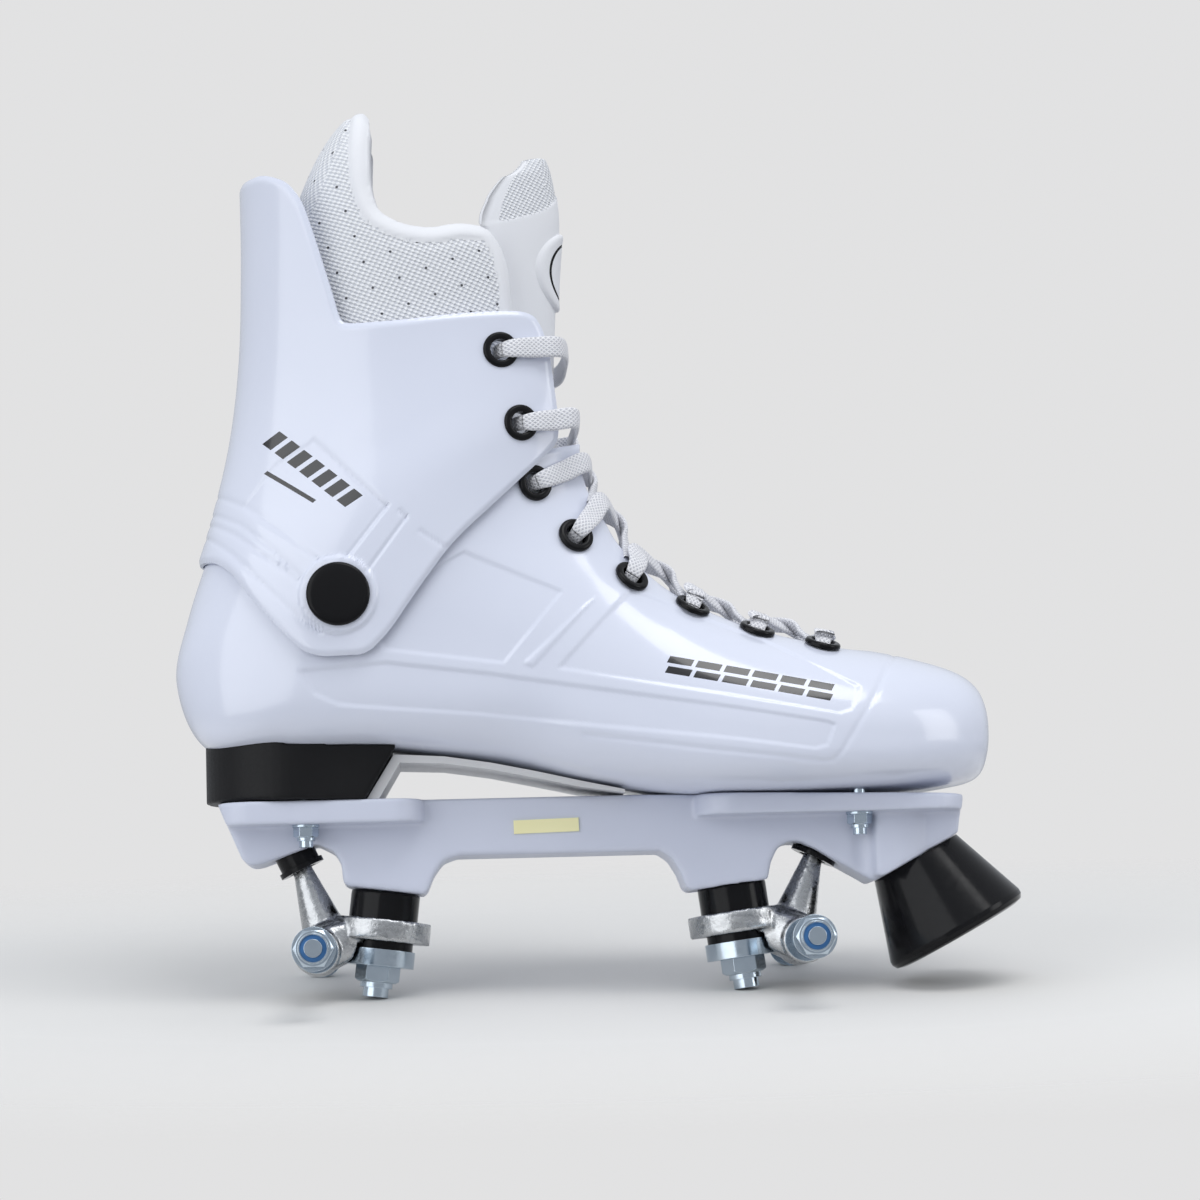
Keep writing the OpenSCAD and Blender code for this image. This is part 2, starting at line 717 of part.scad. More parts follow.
module hanger() {
    color(cast_metal) difference() {
        union() {
            kingpin_frame() translate([0, 0, -cushion_h - ring_t])
                cylinder(h = ring_t, r = ring_r);
            hull() {
                translate([front_axle_x, 0, axle_z]) rotate([90, 0, 0])
                    cylinder(h = 30, r = 8.2, center = true, $fn = 32);
                translate(ring_centre + [9, 0, 0]) rotate([0, -kingpin_tilt, 0])
                    cylinder(h = ring_t - 1, r = 11, center = true, $fn = 32);
            }
            translate([front_axle_x, 0, axle_z]) rotate([90, 0, 0])
                cylinder(h = 40, r = 8.6, center = true);
            hull() {
                translate([front_axle_x - 4, 0, axle_z + 4]) sphere(r = 9, $fn = 32);
                translate(cup_flange - [1.6, 0, 4.2]) sphere(r = 4, $fn = 32);
            }
            hull() {
                translate(cup_flange - [1.6, 0, 4.2]) sphere(r = 4, $fn = 32);
                translate(ball - [1, 0, 2]) sphere(r = 3.2, $fn = 32);
            }
            translate(ball) sphere(r = ball_r);
        }
        kingpin_frame() {
            translate([0, 0, -60]) cylinder(h = 60, r = kingpin_r + 1.9);
            translate([0, 0, -cushion_h - 1.4]) cylinder(h = 30, r = cushion_r + 0.1);
            translate([0, 0, -cushion_h - ring_t - 20]) cylinder(h = 21.4, r = 12.1);
            translate([0, 0, -cushion_h - ring_t - 20]) cylinder(h = 18.4, r = 14.4);
        }
        translate([front_axle_x, 0, axle_z]) rotate([90, 0, 0])
            cylinder(h = 60, r = axle_r + 1, center = true);
    }
}

module axle_frame() {
    translate([front_axle_x, 0, axle_z]) rotate([90, 0, 0]) children();
}

module axle() {
    color(zinc) axle_frame() {
        cylinder(h = 2 * seat_in, r = axle_r + 1, center = true);
        cylinder(h = 2 * seat_out, r = axle_r, center = true);
        cylinder(h = 2 * axle_end, r = axle_thread_r, center = true);
    }
}

module inner_washers() {
    color(zinc) for (s = [-1, 1])
        axle_frame() translate([0, 0, s * (seat_in - 0.75)]) difference() {
            cylinder(h = 1.5, r = 8, center = true);
            cylinder(h = 3, r = axle_r + 1, center = true);
        }
}

module on_seat_end(side) {
    translate([front_axle_x, side * seat_out, axle_z]) rotate([-90 * side, 0, 0]) children();
}

module outer_washer(side) {
    color(zinc) on_seat_end(side) difference() {
        cylinder(h = 1.5, r = 8);
        translate([0, 0, -1]) cylinder(h = 4, r = axle_thread_r + 0.06);
    }
}

module axle_nut(side) {
    color(zinc) on_seat_end(side) translate([0, 0, 1.5]) difference() {
        lock_nut(13, 8, axle_thread_r + 0.06);
        translate([0, 0, 5.4]) cylinder(h = 4, r = 4.9);
    }
}

module nut_insert(side) {
    color("#2f6f9f") on_seat_end(side) translate([0, 0, 6.9]) difference() {
        cylinder(h = 1.9, r = 4.9);
        translate([0, 0, -1]) cylinder(h = 4, r = axle_thread_r + 0.04);
    }
}

// ---- Toe stop ----

module stop_frame() {
    translate(stop_top) rotate([0, 180 - stop_tilt, 0]) children();
}

module toe_stop() {
    color(black_part) stop_frame() rotate_extrude($fn = 96) polygon([
        [4, 0], [stop_top_r, 0], [stop_face_r, stop_h - 4], [stop_face_r, stop_h - 2.4],
        [stop_face_r - 1, stop_h - 0.7], [stop_face_r - 3.4, stop_h], [9, stop_h],
        [9, stop_h - 12], [4, stop_h - 12]
    ]);
}

module toe_stop_bolt() {
    color(zinc) stop_frame() {
        translate([0, 0, stop_h - 10.4]) cylinder(h = 5.5, r = 14.3 / 2, $fn = 6);
        translate([0, 0, -18]) cylinder(h = stop_h + 8, r = 4);
    }
}

module toe_stop_washer() {
    color(zinc) stop_frame() translate([0, 0, stop_h - 12]) difference() {
        cylinder(h = 1.6, r = 8.9);
        translate([0, 0, -1]) cylinder(h = 4, r = 4);
    }
}

shell();
sole_strip();
heel_block();
footbed();
liner_foot();
tongue_lower();
shell_eyelets();
shell_laces();
cuff();
cuff_eyelets();
cuff_laces();
liner_collar();
tongue_upper();
tongue_badge();
pivot_shoulder_bolts();
pivot_bushes();
pivot_caps();
plate();
mount_bolts();
mount_washers();
mount_nuts();
side_label();
kingpin();  // kingpin_front
at_rear() kingpin();  // kingpin_rear
upper_cushion();  // upper_cushion_front
at_rear() upper_cushion();  // upper_cushion_rear
lower_cushion();  // lower_cushion_front
at_rear() lower_cushion();  // lower_cushion_rear
cup_washer();  // cup_washer_front
at_rear() cup_washer();  // cup_washer_rear
kingpin_nut();  // kingpin_nut_front
at_rear() kingpin_nut();  // kingpin_nut_rear
pivot_cup();  // pivot_cup_front
at_rear() pivot_cup();  // pivot_cup_rear
hanger();  // hanger_front
at_rear() hanger();  // hanger_rear
axle();  // axle_front
at_rear() axle();  // axle_rear
inner_washers();  // inner_washers_front
at_rear() inner_washers();  // inner_washers_rear
for (s = NUT_SIDES) {
    axle_nut(s[1]);
    at_rear() axle_nut(s[1]);
    nut_insert(s[1]);
    at_rear() nut_insert(s[1]);
    outer_washer(s[1]);
    at_rear() outer_washer(s[1]);
}
toe_stop();
toe_stop_bolt();
toe_stop_washer();
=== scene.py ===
"""Looks of the right quad skate, built around its CAD frame. Lengths are in mm unless named."""

import math

import bpy
import numpy as np
from mathutils import Matrix, Vector


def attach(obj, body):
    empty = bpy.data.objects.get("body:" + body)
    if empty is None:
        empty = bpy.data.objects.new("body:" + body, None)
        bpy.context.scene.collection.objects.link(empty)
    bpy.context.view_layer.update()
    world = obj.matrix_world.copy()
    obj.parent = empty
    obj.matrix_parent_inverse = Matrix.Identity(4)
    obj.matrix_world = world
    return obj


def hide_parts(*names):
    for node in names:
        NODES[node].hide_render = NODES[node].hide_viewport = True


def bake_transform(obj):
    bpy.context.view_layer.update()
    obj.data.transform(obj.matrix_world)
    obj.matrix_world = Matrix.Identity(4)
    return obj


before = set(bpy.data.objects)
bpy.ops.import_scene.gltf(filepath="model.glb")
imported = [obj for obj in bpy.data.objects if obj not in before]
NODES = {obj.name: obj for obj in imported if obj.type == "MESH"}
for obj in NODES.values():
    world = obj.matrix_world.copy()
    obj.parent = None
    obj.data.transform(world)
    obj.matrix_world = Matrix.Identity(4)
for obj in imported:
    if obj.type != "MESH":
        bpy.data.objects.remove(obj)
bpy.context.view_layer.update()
MM = 0.001
ENDS = ("front", "rear")
SIDES = ("right", "left")

# ---- The boot's form: [front x, front z, back x, back z, half width, widest place, roundness
# ---- of the back half, sideways shift], from the toe tip over the foot and up the leg
SECTIONS = np.array([
    [146, 97, 145.8, 90, 5, 0.50, 2.2, 7],
    [144.6, 105.5, 144.6, 83, 19, 0.52, 2.4, 7],
    [140.5, 112.6, 141, 76.5, 29, 0.56, 2.6, 7],
    [131, 118, 131, 73.8, 38.5, 0.60, 3.0, 6],
    [112, 123.2, 112, 71.8, 47.5, 0.62, 3.4, 4.5],
    [84, 128.6, 84, 71.4, 52, 0.64, 3.6, 2],
    [54, 136.5, 54, 71.4, 52.5, 0.66, 3.6, 0],
    [28, 150, 24, 72.5, 50, 0.66, 3.4, 0],
    [11, 167, -6, 77, 47.5, 0.64, 3.2, 0],
    [5, 179, -38, 84.5, 45.5, 0.60, 3.0, 0],
    [1, 190, -78, 90.3, 45, 0.58, 4.2, 0],
    [0, 200, -118, 90.6, 45.5, 0.55, 4.2, 0],
    [0.5, 209, -146, 94, 46, 0.52, 3, 0],
    [1.5, 217, -156.8, 118, 46, 0.50, 2.3, 0],
    [2.5, 227, -152, 143, 45, 0.49, 2.2, 0],
    [3, 241, -141, 176, 42, 0.48, 2.2, 0],
    [3, 255, -132.5, 208, 40, 0.48, 2.2, 0],
    [3, 268, -128, 240, 39.5, 0.48, 2.2, 0],
    [2, 284, -126.5, 275, 40, 0.48, 2.2, 0],
    [2, 312, -126.5, 308, 41, 0.48, 2.2, 0],
    [2, 342, -126.5, 338, 41, 0.48, 2.2, 0],
])
FRONT_ROUND = 2.1
COLLAR = np.array([
    [-16, 212, -140, 172, 40, 0.48, 2.2, 0],
    [-14, 236, -130.5, 206, 38, 0.48, 2.2, 0],
    [-14, 256, -125, 240, 36.5, 0.48, 2.2, 0],
    [-17, 274, -119, 272, 36, 0.48, 2.2, 0],
    [-24, 290, -110, 296, 35, 0.50, 2.2, 0],
    [-38, 306, -101, 316, 31, 0.52, 2.2, 0],
    [-56, 322, -92, 328.5, 23, 0.54, 2.2, 0],
    [-74, 331.4, -84.5, 333.2, 9, 0.55, 2.2, 0],
])
SHELL_WALL = 3
# The outside is the CAD cuff's. The inside is cut back to clear the shell and its eyelets.
CUFF_WALL = 2.2
CUFF_GAP = 1.7
THROAT_HALF = 17
PIVOT = (-95.3, 145.6)
CAP_R = 11.6
RING_R = 13.7
EYELET_R = 6.7
EYELET_HOLE_R = 4
EYELETS = [
    [-34.3, 235.5, 40, [0.24, 0.97, 0.06]],
    [-27.6, 208.4, 39.8, [0.39, 0.92, 0]],
    [-22.8, 186.7, 34.4, [0.44, 0.89, 0.08]],
    [-8.2, 166.8, 33.7, [0.36, 0.85, 0.39]],
    [12, 151.3, 31, [0.5, 0.63, 0.59]],
    [34.6, 140.4, 24.6, [0.41, 0.4, 0.82]],
    [58.4, 131.3, 23, [0.29, 0.32, 0.9]],
    [82.7, 125.6, 21.5, [0.23, 0.29, 0.93]],
]
CUFF_ROWS = 2
LACE_EDGE = [
    [-11.5, 34.5, 237], [-6.5, 34.5, 210], [-2.6, 20, 196], [3.5, 20, 181.5],
    [16, 19, 162.5], [36.5, 17, 148], [60.3, 17, 137.5], [84, 17, 131],
]
LACE_MID = [
    [-9, 0, 238], [-8.5, 0, 205], [-1, 0, 190], [9, 0, 174],
    [26, 0, 155], [48, 0, 141], [72, 0, 133.5], [86, 0, 131],
]
LACE_UP = [
    [1, 0, 0], [1, 0, 0.1], [0.9, 0, 0.4], [0.8, 0, 0.6],
    [0.6, 0, 0.8], [0.4, 0, 0.9], [0.3, 0, 0.95], [0.25, 0, 0.97],
]
LACE_WIDTH = 7.8
LACE_THICK = 1.9
CUFF_OUTLINE = [
    [-143.6, 162.6], [-135.6, 157], [-127.3, 145.4], [-114.8, 131.2], [-108.5, 125.2],
    [-102, 123.2], [-95.8, 123.3], [-85.1, 123.6], [-76.4, 132.6], [-67.6, 145.3],
    [-53.3, 164.3], [-34.7, 181.2], [-16.2, 198.4], [-13, 202.5], [-12.4, 209.6],
    [-14.6, 228.3], [-15.7, 236.9], [-18.1, 244.5], [-20.9, 249], [-26.6, 250.7],
    [-48.7, 249.3], [-70.8, 247.1], [-91.1, 246.4], [-93.5, 249], [-96.3, 259.5],
    [-102.5, 280.2], [-107.1, 294.1], [-112.8, 302], [-121.4, 306], [-128, 305.6],
    [-160, 306], [-160, 162.6],
]
SHELL_RIM = [
    [-170, 167.5], [-138, 167.5], [-110, 178], [-60, 190], [-16, 200], [40, 216],
    [200, 216], [200, 40], [-170, 40],
]
THROAT_SIDE = [[84, 112], [84, 200], [-60, 300], [-60, 160], [-20, 150], [20, 125]]
COLLAR_OUTLINE = [
    [-150, 174.5], [-95, 187], [-26, 214], [-27.5, 262], [-30, 276], [-36, 285],
    [-48, 285.6], [-59, 283], [-70, 285], [-78.5, 290], [-82, 300], [-82.5, 318],
    [-79, 345], [-150, 345],
]


# ---- Meshes ----

def section_at(table, t):
    """A section between two others, by a smooth curve through all of them."""
    t = np.clip(t, 0, len(table) - 1)
    i = np.minimum(np.floor(t).astype(int), len(table) - 2)
    f = (t - i)[:, None]
    before = table[np.maximum(i - 1, 0)]
    first = table[i]
    second = table[i + 1]
    after = table[np.minimum(i + 2, len(table) - 1)]
    return 0.5 * (
        2 * first + (second - before) * f
        + (2 * before - 5 * first + 4 * second - after) * f**2
        + (3 * first - before - 3 * second + after) * f**3
    )


def section_ring(s, off, angles):
    """Points round one section, grown outward by off."""
    front = s[[0, 1]]
    chord = s[[2, 3]] - front
    length = np.linalg.norm(chord)
    direction = chord / length
    c = np.cos(angles)
    side = np.sin(angles)
    power = np.where(c >= 0, 2 / FRONT_ROUND, 2 / s[6])
    reach = np.abs(c) ** power
    along = np.where(c >= 0, s[5] * (1 - reach), s[5] + (1 - s[5]) * reach)
    along = along * (length + 2 * off) - off
    y = s[7] + (s[4] + off) * np.sign(side) * np.abs(side) ** power
    return np.stack([front[0] + direction[0] * along, y, front[1] + direction[1] * along], 1)


def even_ring(s, off, count):
    """The same ring with its points evenly spaced from front to back on each side."""
    angles = np.linspace(0, math.pi, 1200)
    fine = section_ring(s, off, angles)
    steps = np.r_[0, np.cumsum(np.linalg.norm(np.diff(fine, axis=0), axis=1))]
    places = np.linspace(0, steps[-1], count // 2 + 1)
    half = np.stack([np.interp(places, steps, fine[:, k]) for k in range(3)], 1)
    other = half[-2:0:-1] * [1, -1, 1] + [0, 2 * s[7], 0]
    return np.r_[half, other]


def rows_between(table, first, last, step):
    """Section numbers from first to last, about step mm apart at the middle of the form."""
    t = np.linspace(first, last, 600)
    s = section_at(table, t)
    middle = (s[:, [0, 1]] + s[:, [2, 3]]) / 2
    back = s[:, [2, 3]]
    gap = np.linalg.norm(np.diff(middle, axis=0), axis=1)
    gap = 0.5 * gap + 0.5 * np.linalg.norm(np.diff(back, axis=0), axis=1)
    steps = np.r_[0, np.cumsum(gap)]
    count = int(steps[-1] / step) + 2
    return np.interp(np.linspace(0, steps[-1], count), steps, t)


def form_grid(table, first, last, off, step, count):
    """A grid of points on a form between two rows of its table, moved out by off."""
    rows = section_at(table, rows_between(table, first, last, step))
    return np.stack([even_ring(s, off, count) for s in rows])


def grid_triangles(rows, columns, closed=True):
    """Two triangles for each cell of a grid of points, wound outward."""
    i, j = np.meshgrid(np.arange(rows - 1), np.arange(columns if closed else columns - 1),
                       indexing="ij")
    k = (j + 1) % columns
    a = (i * columns + j).ravel()
    b = (i * columns + k).ravel()
    c = ((i + 1) * columns + k).ravel()
    d = ((i + 1) * columns + j).ravel()
    return np.r_[np.stack([a, c, d], 1), np.stack([a, b, c], 1)]


def normals_of(points, triangles):
    """Unit normals at points, weighted by the area of the triangles around them."""
    a, b, c = (points[triangles[:, k]] for k in range(3))
    n = np.cross(b - a, c - a)
    total = np.zeros_like(points)
    for k in range(3):
        np.add.at(total, triangles[:, k], n)
    return total / np.maximum(np.linalg.norm(total, axis=1), 1e-12)[:, None]


def to_outline(xz, outline, closed=True):
    """Distance from points to an outline; with a closed one it is positive inside."""
    corners = np.array(outline, float)
    ends = np.roll(corners, -1, axis=0)
    if not closed:
        corners = corners[:-1]
        ends = ends[:-1]
    best = np.full(len(xz), 1e9)
    inside = np.zeros(len(xz), bool)
    for p, q in zip(corners, ends):
        d = q - p
        f = np.clip(((xz - p) @ d) / max(d @ d, 1e-9), 0, 1)
        best = np.minimum(best, np.linalg.norm(xz - p - f[:, None] * d, axis=1))
        if closed:
            rises = (p[1] > xz[:, 1]) != (q[1] > xz[:, 1])
            cross = p[0] + (xz[:, 1] - p[1]) * d[0] / (d[1] if d[1] else 1e-9)
            inside ^= rises & (xz[:, 0] < cross)
    return np.where(inside, best, -best) if closed else best


def clip(points, triangles, keep):
    """Cuts a mesh where keep passes zero and leaves the positive side."""
    keep = np.where(np.abs(keep) < 1e-4, 1e-4, keep)
    inside = keep[triangles] > 0
    total = inside.sum(1)
    kept = [triangles[total == 3]]
    made = {}
    extra = []

    def between(p, q):
        key = (min(p, q), max(p, q))
        if key not in made:
            f = keep[p] / (keep[p] - keep[q])
            made[key] = len(points) + len(extra)
            extra.append(points[p] + (points[q] - points[p]) * f)
        return made[key]

    cut = []
    for tri, flags in zip(triangles[(total == 1) | (total == 2)],
                          inside[(total == 1) | (total == 2)]):
        lone = int(np.argmax(flags)) if flags.sum() == 1 else int(np.argmin(flags))
        a, b, c = tri[lone], tri[(lone + 1) % 3], tri[(lone + 2) % 3]
        ab = between(a, b)
        ac = between(a, c)
        if flags.sum() == 1:
            cut.append([a, ab, ac])
        else:
            cut.append([ab, b, c])
            cut.append([ab, c, ac])
    if cut:
        kept.append(np.array(cut))
        points = np.r_[points, np.array(extra)]
    triangles = np.concatenate(kept)
    used, flat = np.unique(triangles, return_inverse=True)
    return points[used], flat.reshape(-1, 3)


def border(triangles):
    """The directed edges that only one triangle has."""
    edges = np.concatenate([triangles[:, [0, 1]], triangles[:, [1, 2]], triangles[:, [2, 0]]])
    size = triangles.max() + 1
    forward = edges[:, 0] * size + edges[:, 1]
    back = edges[:, 1] * size + edges[:, 0]
    return edges[~np.isin(forward, back)]


def wall_of(base, triangles, height, keep, wall):
    """A wall on a form: the outer face is raised by height, cut where keep ends, and closed."""
    normals = normals_of(base, triangles)
    raised = base + normals * height[:, None]
    together, triangles = clip(np.hstack([raised, base, normals]), triangles, keep)
    outer, middle, direction = together[:, :3], together[:, 3:6], together[:, 6:]
    direction = direction / np.linalg.norm(direction, axis=1)[:, None]
    inner = middle - direction * wall
    n = len(outer)
    rim = border(triangles)
    sides = np.r_[
        np.stack([rim[:, 1], rim[:, 0], rim[:, 0] + n], 1),
        np.stack([rim[:, 1], rim[:, 0] + n, rim[:, 1] + n], 1),
    ]
    return np.r_[outer, inner], np.r_[triangles, triangles[:, ::-1] + n, sides], len(triangles)


def mesh_object(name, points, faces, material, sharp=40):
    """An object from points in mm, smooth except at edges sharper than an angle."""
    mesh = bpy.data.meshes.new(name)
    mesh.from_pydata((np.asarray(points) * MM).tolist(), [], np.asarray(faces).tolist()
                     if isinstance(faces, np.ndarray) else faces)
    mesh.validate()
    mesh.materials.append(material)
    mesh.shade_smooth()
    if sharp:
        mesh.set_sharp_from_angle(angle=math.radians(sharp))
    made = bpy.data.objects.new(name, mesh)
    bpy.context.collection.objects.link(made)
    return made


def smooth_step(x, low, high):
    f = np.clip((x - low) / (high - low), 0, 1)
    return f * f * (3 - 2 * f)


def rounded(distance, radius, depth):
    """How far a rounded edge drops at a distance inside it."""
    return depth * (1 - np.clip(distance, 0, radius) / radius) ** 2


# ---- Materials ----

def new_material(name):
    made = bpy.data.materials.new(name)
    made.use_nodes = True
    return made, made.node_tree, made.node_tree.nodes["Principled BSDF"]


def math_node(tree, operation, a, b=None):
    node = tree.nodes.new("ShaderNodeMath")
    node.operation = operation
    for k, value in enumerate((a, b)):
        if value is None:
            continue
        if isinstance(value, (int, float)):
            node.inputs[k].default_value = value
        else:
            tree.links.new(value, node.inputs[k])
    return node.outputs[0]


def noise(tree, scale, detail=3.0, vector=None):
    node = tree.nodes.new("ShaderNodeTexNoise")
    node.inputs["Scale"].default_value = scale
    node.inputs["Detail"].default_value = detail
    if vector is None:
        vector = tree.nodes.new("ShaderNodeTexCoord").outputs["Object"]
    tree.links.new(vector, node.inputs["Vector"])
    return node.outputs["Fac"]


def ramp(tree, fac, low, high, start=0.3, end=0.7):
    node = tree.nodes.new("ShaderNodeMapRange")
    tree.links.new(fac, node.inputs["Value"])
    node.inputs["From Min"].default_value = start
    node.inputs["From Max"].default_value = end
    node.inputs["To Min"].default_value = low
    node.inputs["To Max"].default_value = high
    return node.outputs[0]


def blend_colour(tree, fac, low, high):
    node = tree.nodes.new("ShaderNodeMix")
    node.data_type = "RGBA"
    tree.links.new(fac, node.inputs["Factor"])
    node.inputs["A"].default_value = (*low, 1)
    node.inputs["B"].default_value = (*high, 1)
    return node.outputs["Result"]


def bump(tree, height, strength, distance, normal=None):
    node = tree.nodes.new("ShaderNodeBump")
    node.inputs["Strength"].default_value = strength
    node.inputs["Distance"].default_value = distance * MM
    tree.links.new(height, node.inputs["Height"])
    if normal is not None:
        tree.links.new(normal, node.inputs["Normal"])
    return node.outputs["Normal"]


def plain_surface(name, low, high, rough, metallic=0.0, grain=400, bump_mm=0.02, coat=0.0,
                  specular=0.5, edge=0.0):
    """A moulded, cast or plated surface: cloudy colour, uneven gloss and fine relief."""
    made, tree, shader = new_material(name)
    cloud = noise(tree, 35, 2)
    fine = noise(tree, grain, 4)
    tree.links.new(blend_colour(tree, cloud, low, high), shader.inputs["Base Color"])
    tree.links.new(ramp(tree, fine, rough[0], rough[1]), shader.inputs["Roughness"])
    shader.inputs["Metallic"].default_value = metallic
    shader.inputs["Coat Weight"].default_value = coat
    shader.inputs["Coat Roughness"].default_value = 0.06
    shader.inputs["Specular IOR Level"].default_value = specular
    normal = None
    if edge:
        bevel = tree.nodes.new("ShaderNodeBevel")
        bevel.samples = 6
        bevel.inputs["Radius"].default_value = edge * MM
        normal = bevel.outputs[0]
    tree.links.new(bump(tree, fine, 0.5, bump_mm, normal), shader.inputs["Normal"])
    return made


LAVENDER = ((0.69, 0.725, 0.845), (0.725, 0.758, 0.87))
PLATE_TONE = ((0.555, 0.585, 0.695), (0.595, 0.625, 0.735))
BLACK = ((0.006, 0.006, 0.007), (0.012, 0.012, 0.013))


def stripe_mask(tree, start, turn, length, height, pitch, duty, slant):
    """1 inside a row of slanted bars on the lateral side, else 0."""
    where = tree.nodes.new("ShaderNodeTexCoord").outputs["Object"]
    split = tree.nodes.new("ShaderNodeSeparateXYZ")
    tree.links.new(where, split.inputs[0])
    x = math_node(tree, "SUBTRACT", split.outputs[0], start[0] * MM)
    z = math_node(tree, "SUBTRACT", split.outputs[2], start[1] * MM)
    c = math.cos(math.radians(turn)) / MM
    k = math.sin(math.radians(turn)) / MM
    along = math_node(tree, "ADD", math_node(tree, "MULTIPLY", x, c),
                      math_node(tree, "MULTIPLY", z, k))
    up = math_node(tree, "SUBTRACT", math_node(tree, "MULTIPLY", z, c),
                   math_node(tree, "MULTIPLY", x, k))
    leaned = math_node(tree, "SUBTRACT", along, math_node(tree, "MULTIPLY", up, slant))
    step = math_node(tree, "FRACT", math_node(tree, "DIVIDE", leaned, pitch))
    mask = math_node(tree, "LESS_THAN", step, duty)
    for value, low, high in ((leaned, 0, length), (up, 0, height)):
        mask = math_node(tree, "MULTIPLY", mask, math_node(tree, "GREATER_THAN", value, low))
        mask = math_node(tree, "MULTIPLY", mask, math_node(tree, "LESS_THAN", value, high))
    return math_node(tree, "MULTIPLY", mask, math_node(tree, "LESS_THAN", split.outputs[1], 0))


def printed(name, rows):
    """The shell's plastic with rows of printed black bars."""
    made = plain_surface(name, *LAVENDER, (0.15, 0.22), grain=180, bump_mm=0.01, coat=0.4)
    tree = made.node_tree
    shader = tree.nodes["Principled BSDF"]
    colour = shader.inputs["Base Color"].links[0].from_socket
    for row in rows:
        mix = tree.nodes.new("ShaderNodeMix")
        mix.data_type = "RGBA"
        tree.links.new(stripe_mask(tree, *row), mix.inputs["Factor"])
        tree.links.new(colour, mix.inputs["A"])
        mix.inputs["B"].default_value = (0.008, 0.008, 0.01, 1)
        colour = mix.outputs["Result"]
    tree.links.new(colour, shader.inputs["Base Color"])
    return made


shell_plastic = printed("shell_plastic", [
    ((23.5, 118.4), -11, 62, 2.7, 10.4, 0.86, 0.35), ((22.6, 114.6), -11, 62, 2.7, 10.4, 0.86, 0.35),
])
cuff_plastic = printed("cuff_plastic", [
    ((-122.5, 204), -41, 42, 7.4, 6, 0.7, 0.3), ((-122, 192.5), -35, 22, 1.6, 30, 1.0, 0.3),
])
plate_plastic = plain_surface("plate_plastic", *PLATE_TONE, (0.34, 0.46), grain=900,
                              bump_mm=0.03, edge=0.6)
black_gloss = plain_surface("black_gloss", *BLACK, (0.1, 0.18), grain=300, bump_mm=0.01,
                            specular=0.14, edge=0.4)
black_satin = plain_surface("black_satin", (0.006, 0.006, 0.007), (0.013, 0.013, 0.014),
                            (0.36, 0.5), grain=1500, bump_mm=0.06, specular=0.15)
black_rubber = plain_surface("black_rubber", (0.004, 0.004, 0.005), (0.009, 0.009, 0.01),
                             (0.12, 0.22), grain=500, bump_mm=0.015, specular=0.16, edge=0.6)
zinc = plain_surface("zinc_steel", (0.44, 0.52, 0.60), (0.58, 0.66, 0.73), (0.14, 0.24),
                     metallic=1.0, grain=500, bump_mm=0.004, edge=0.35)
cast = plain_surface("cast_aluminium", (0.30, 0.31, 0.32), (0.64, 0.65, 0.66), (0.16, 0.36),
                     metallic=1.0, grain=480, bump_mm=0.5, edge=0.5)
silver = plain_surface("silver_trim", (0.55, 0.55, 0.56), (0.78, 0.78, 0.79), (0.3, 0.45),
                       metallic=0.2, grain=500, bump_mm=0.08)
label_paper = plain_surface("pale_label", (0.80, 0.76, 0.42), (0.88, 0.84, 0.52), (0.35, 0.5),
                            grain=600, bump_mm=0.01)
blue_nylon = plain_surface("blue_nylon", (0.03, 0.13, 0.33), (0.05, 0.18, 0.42), (0.3, 0.42),
                           grain=500, bump_mm=0.02, edge=0.3)
bush_nylon = plain_surface("natural_nylon", (0.7, 0.7, 0.66), (0.76, 0.76, 0.72),
                           (0.35, 0.5), grain=500, bump_mm=0.02)
foam = plain_surface("insole_foam", (0.55, 0.55, 0.58), (0.62, 0.62, 0.65), (0.8, 0.95),
                     grain=900, bump_mm=0.2)


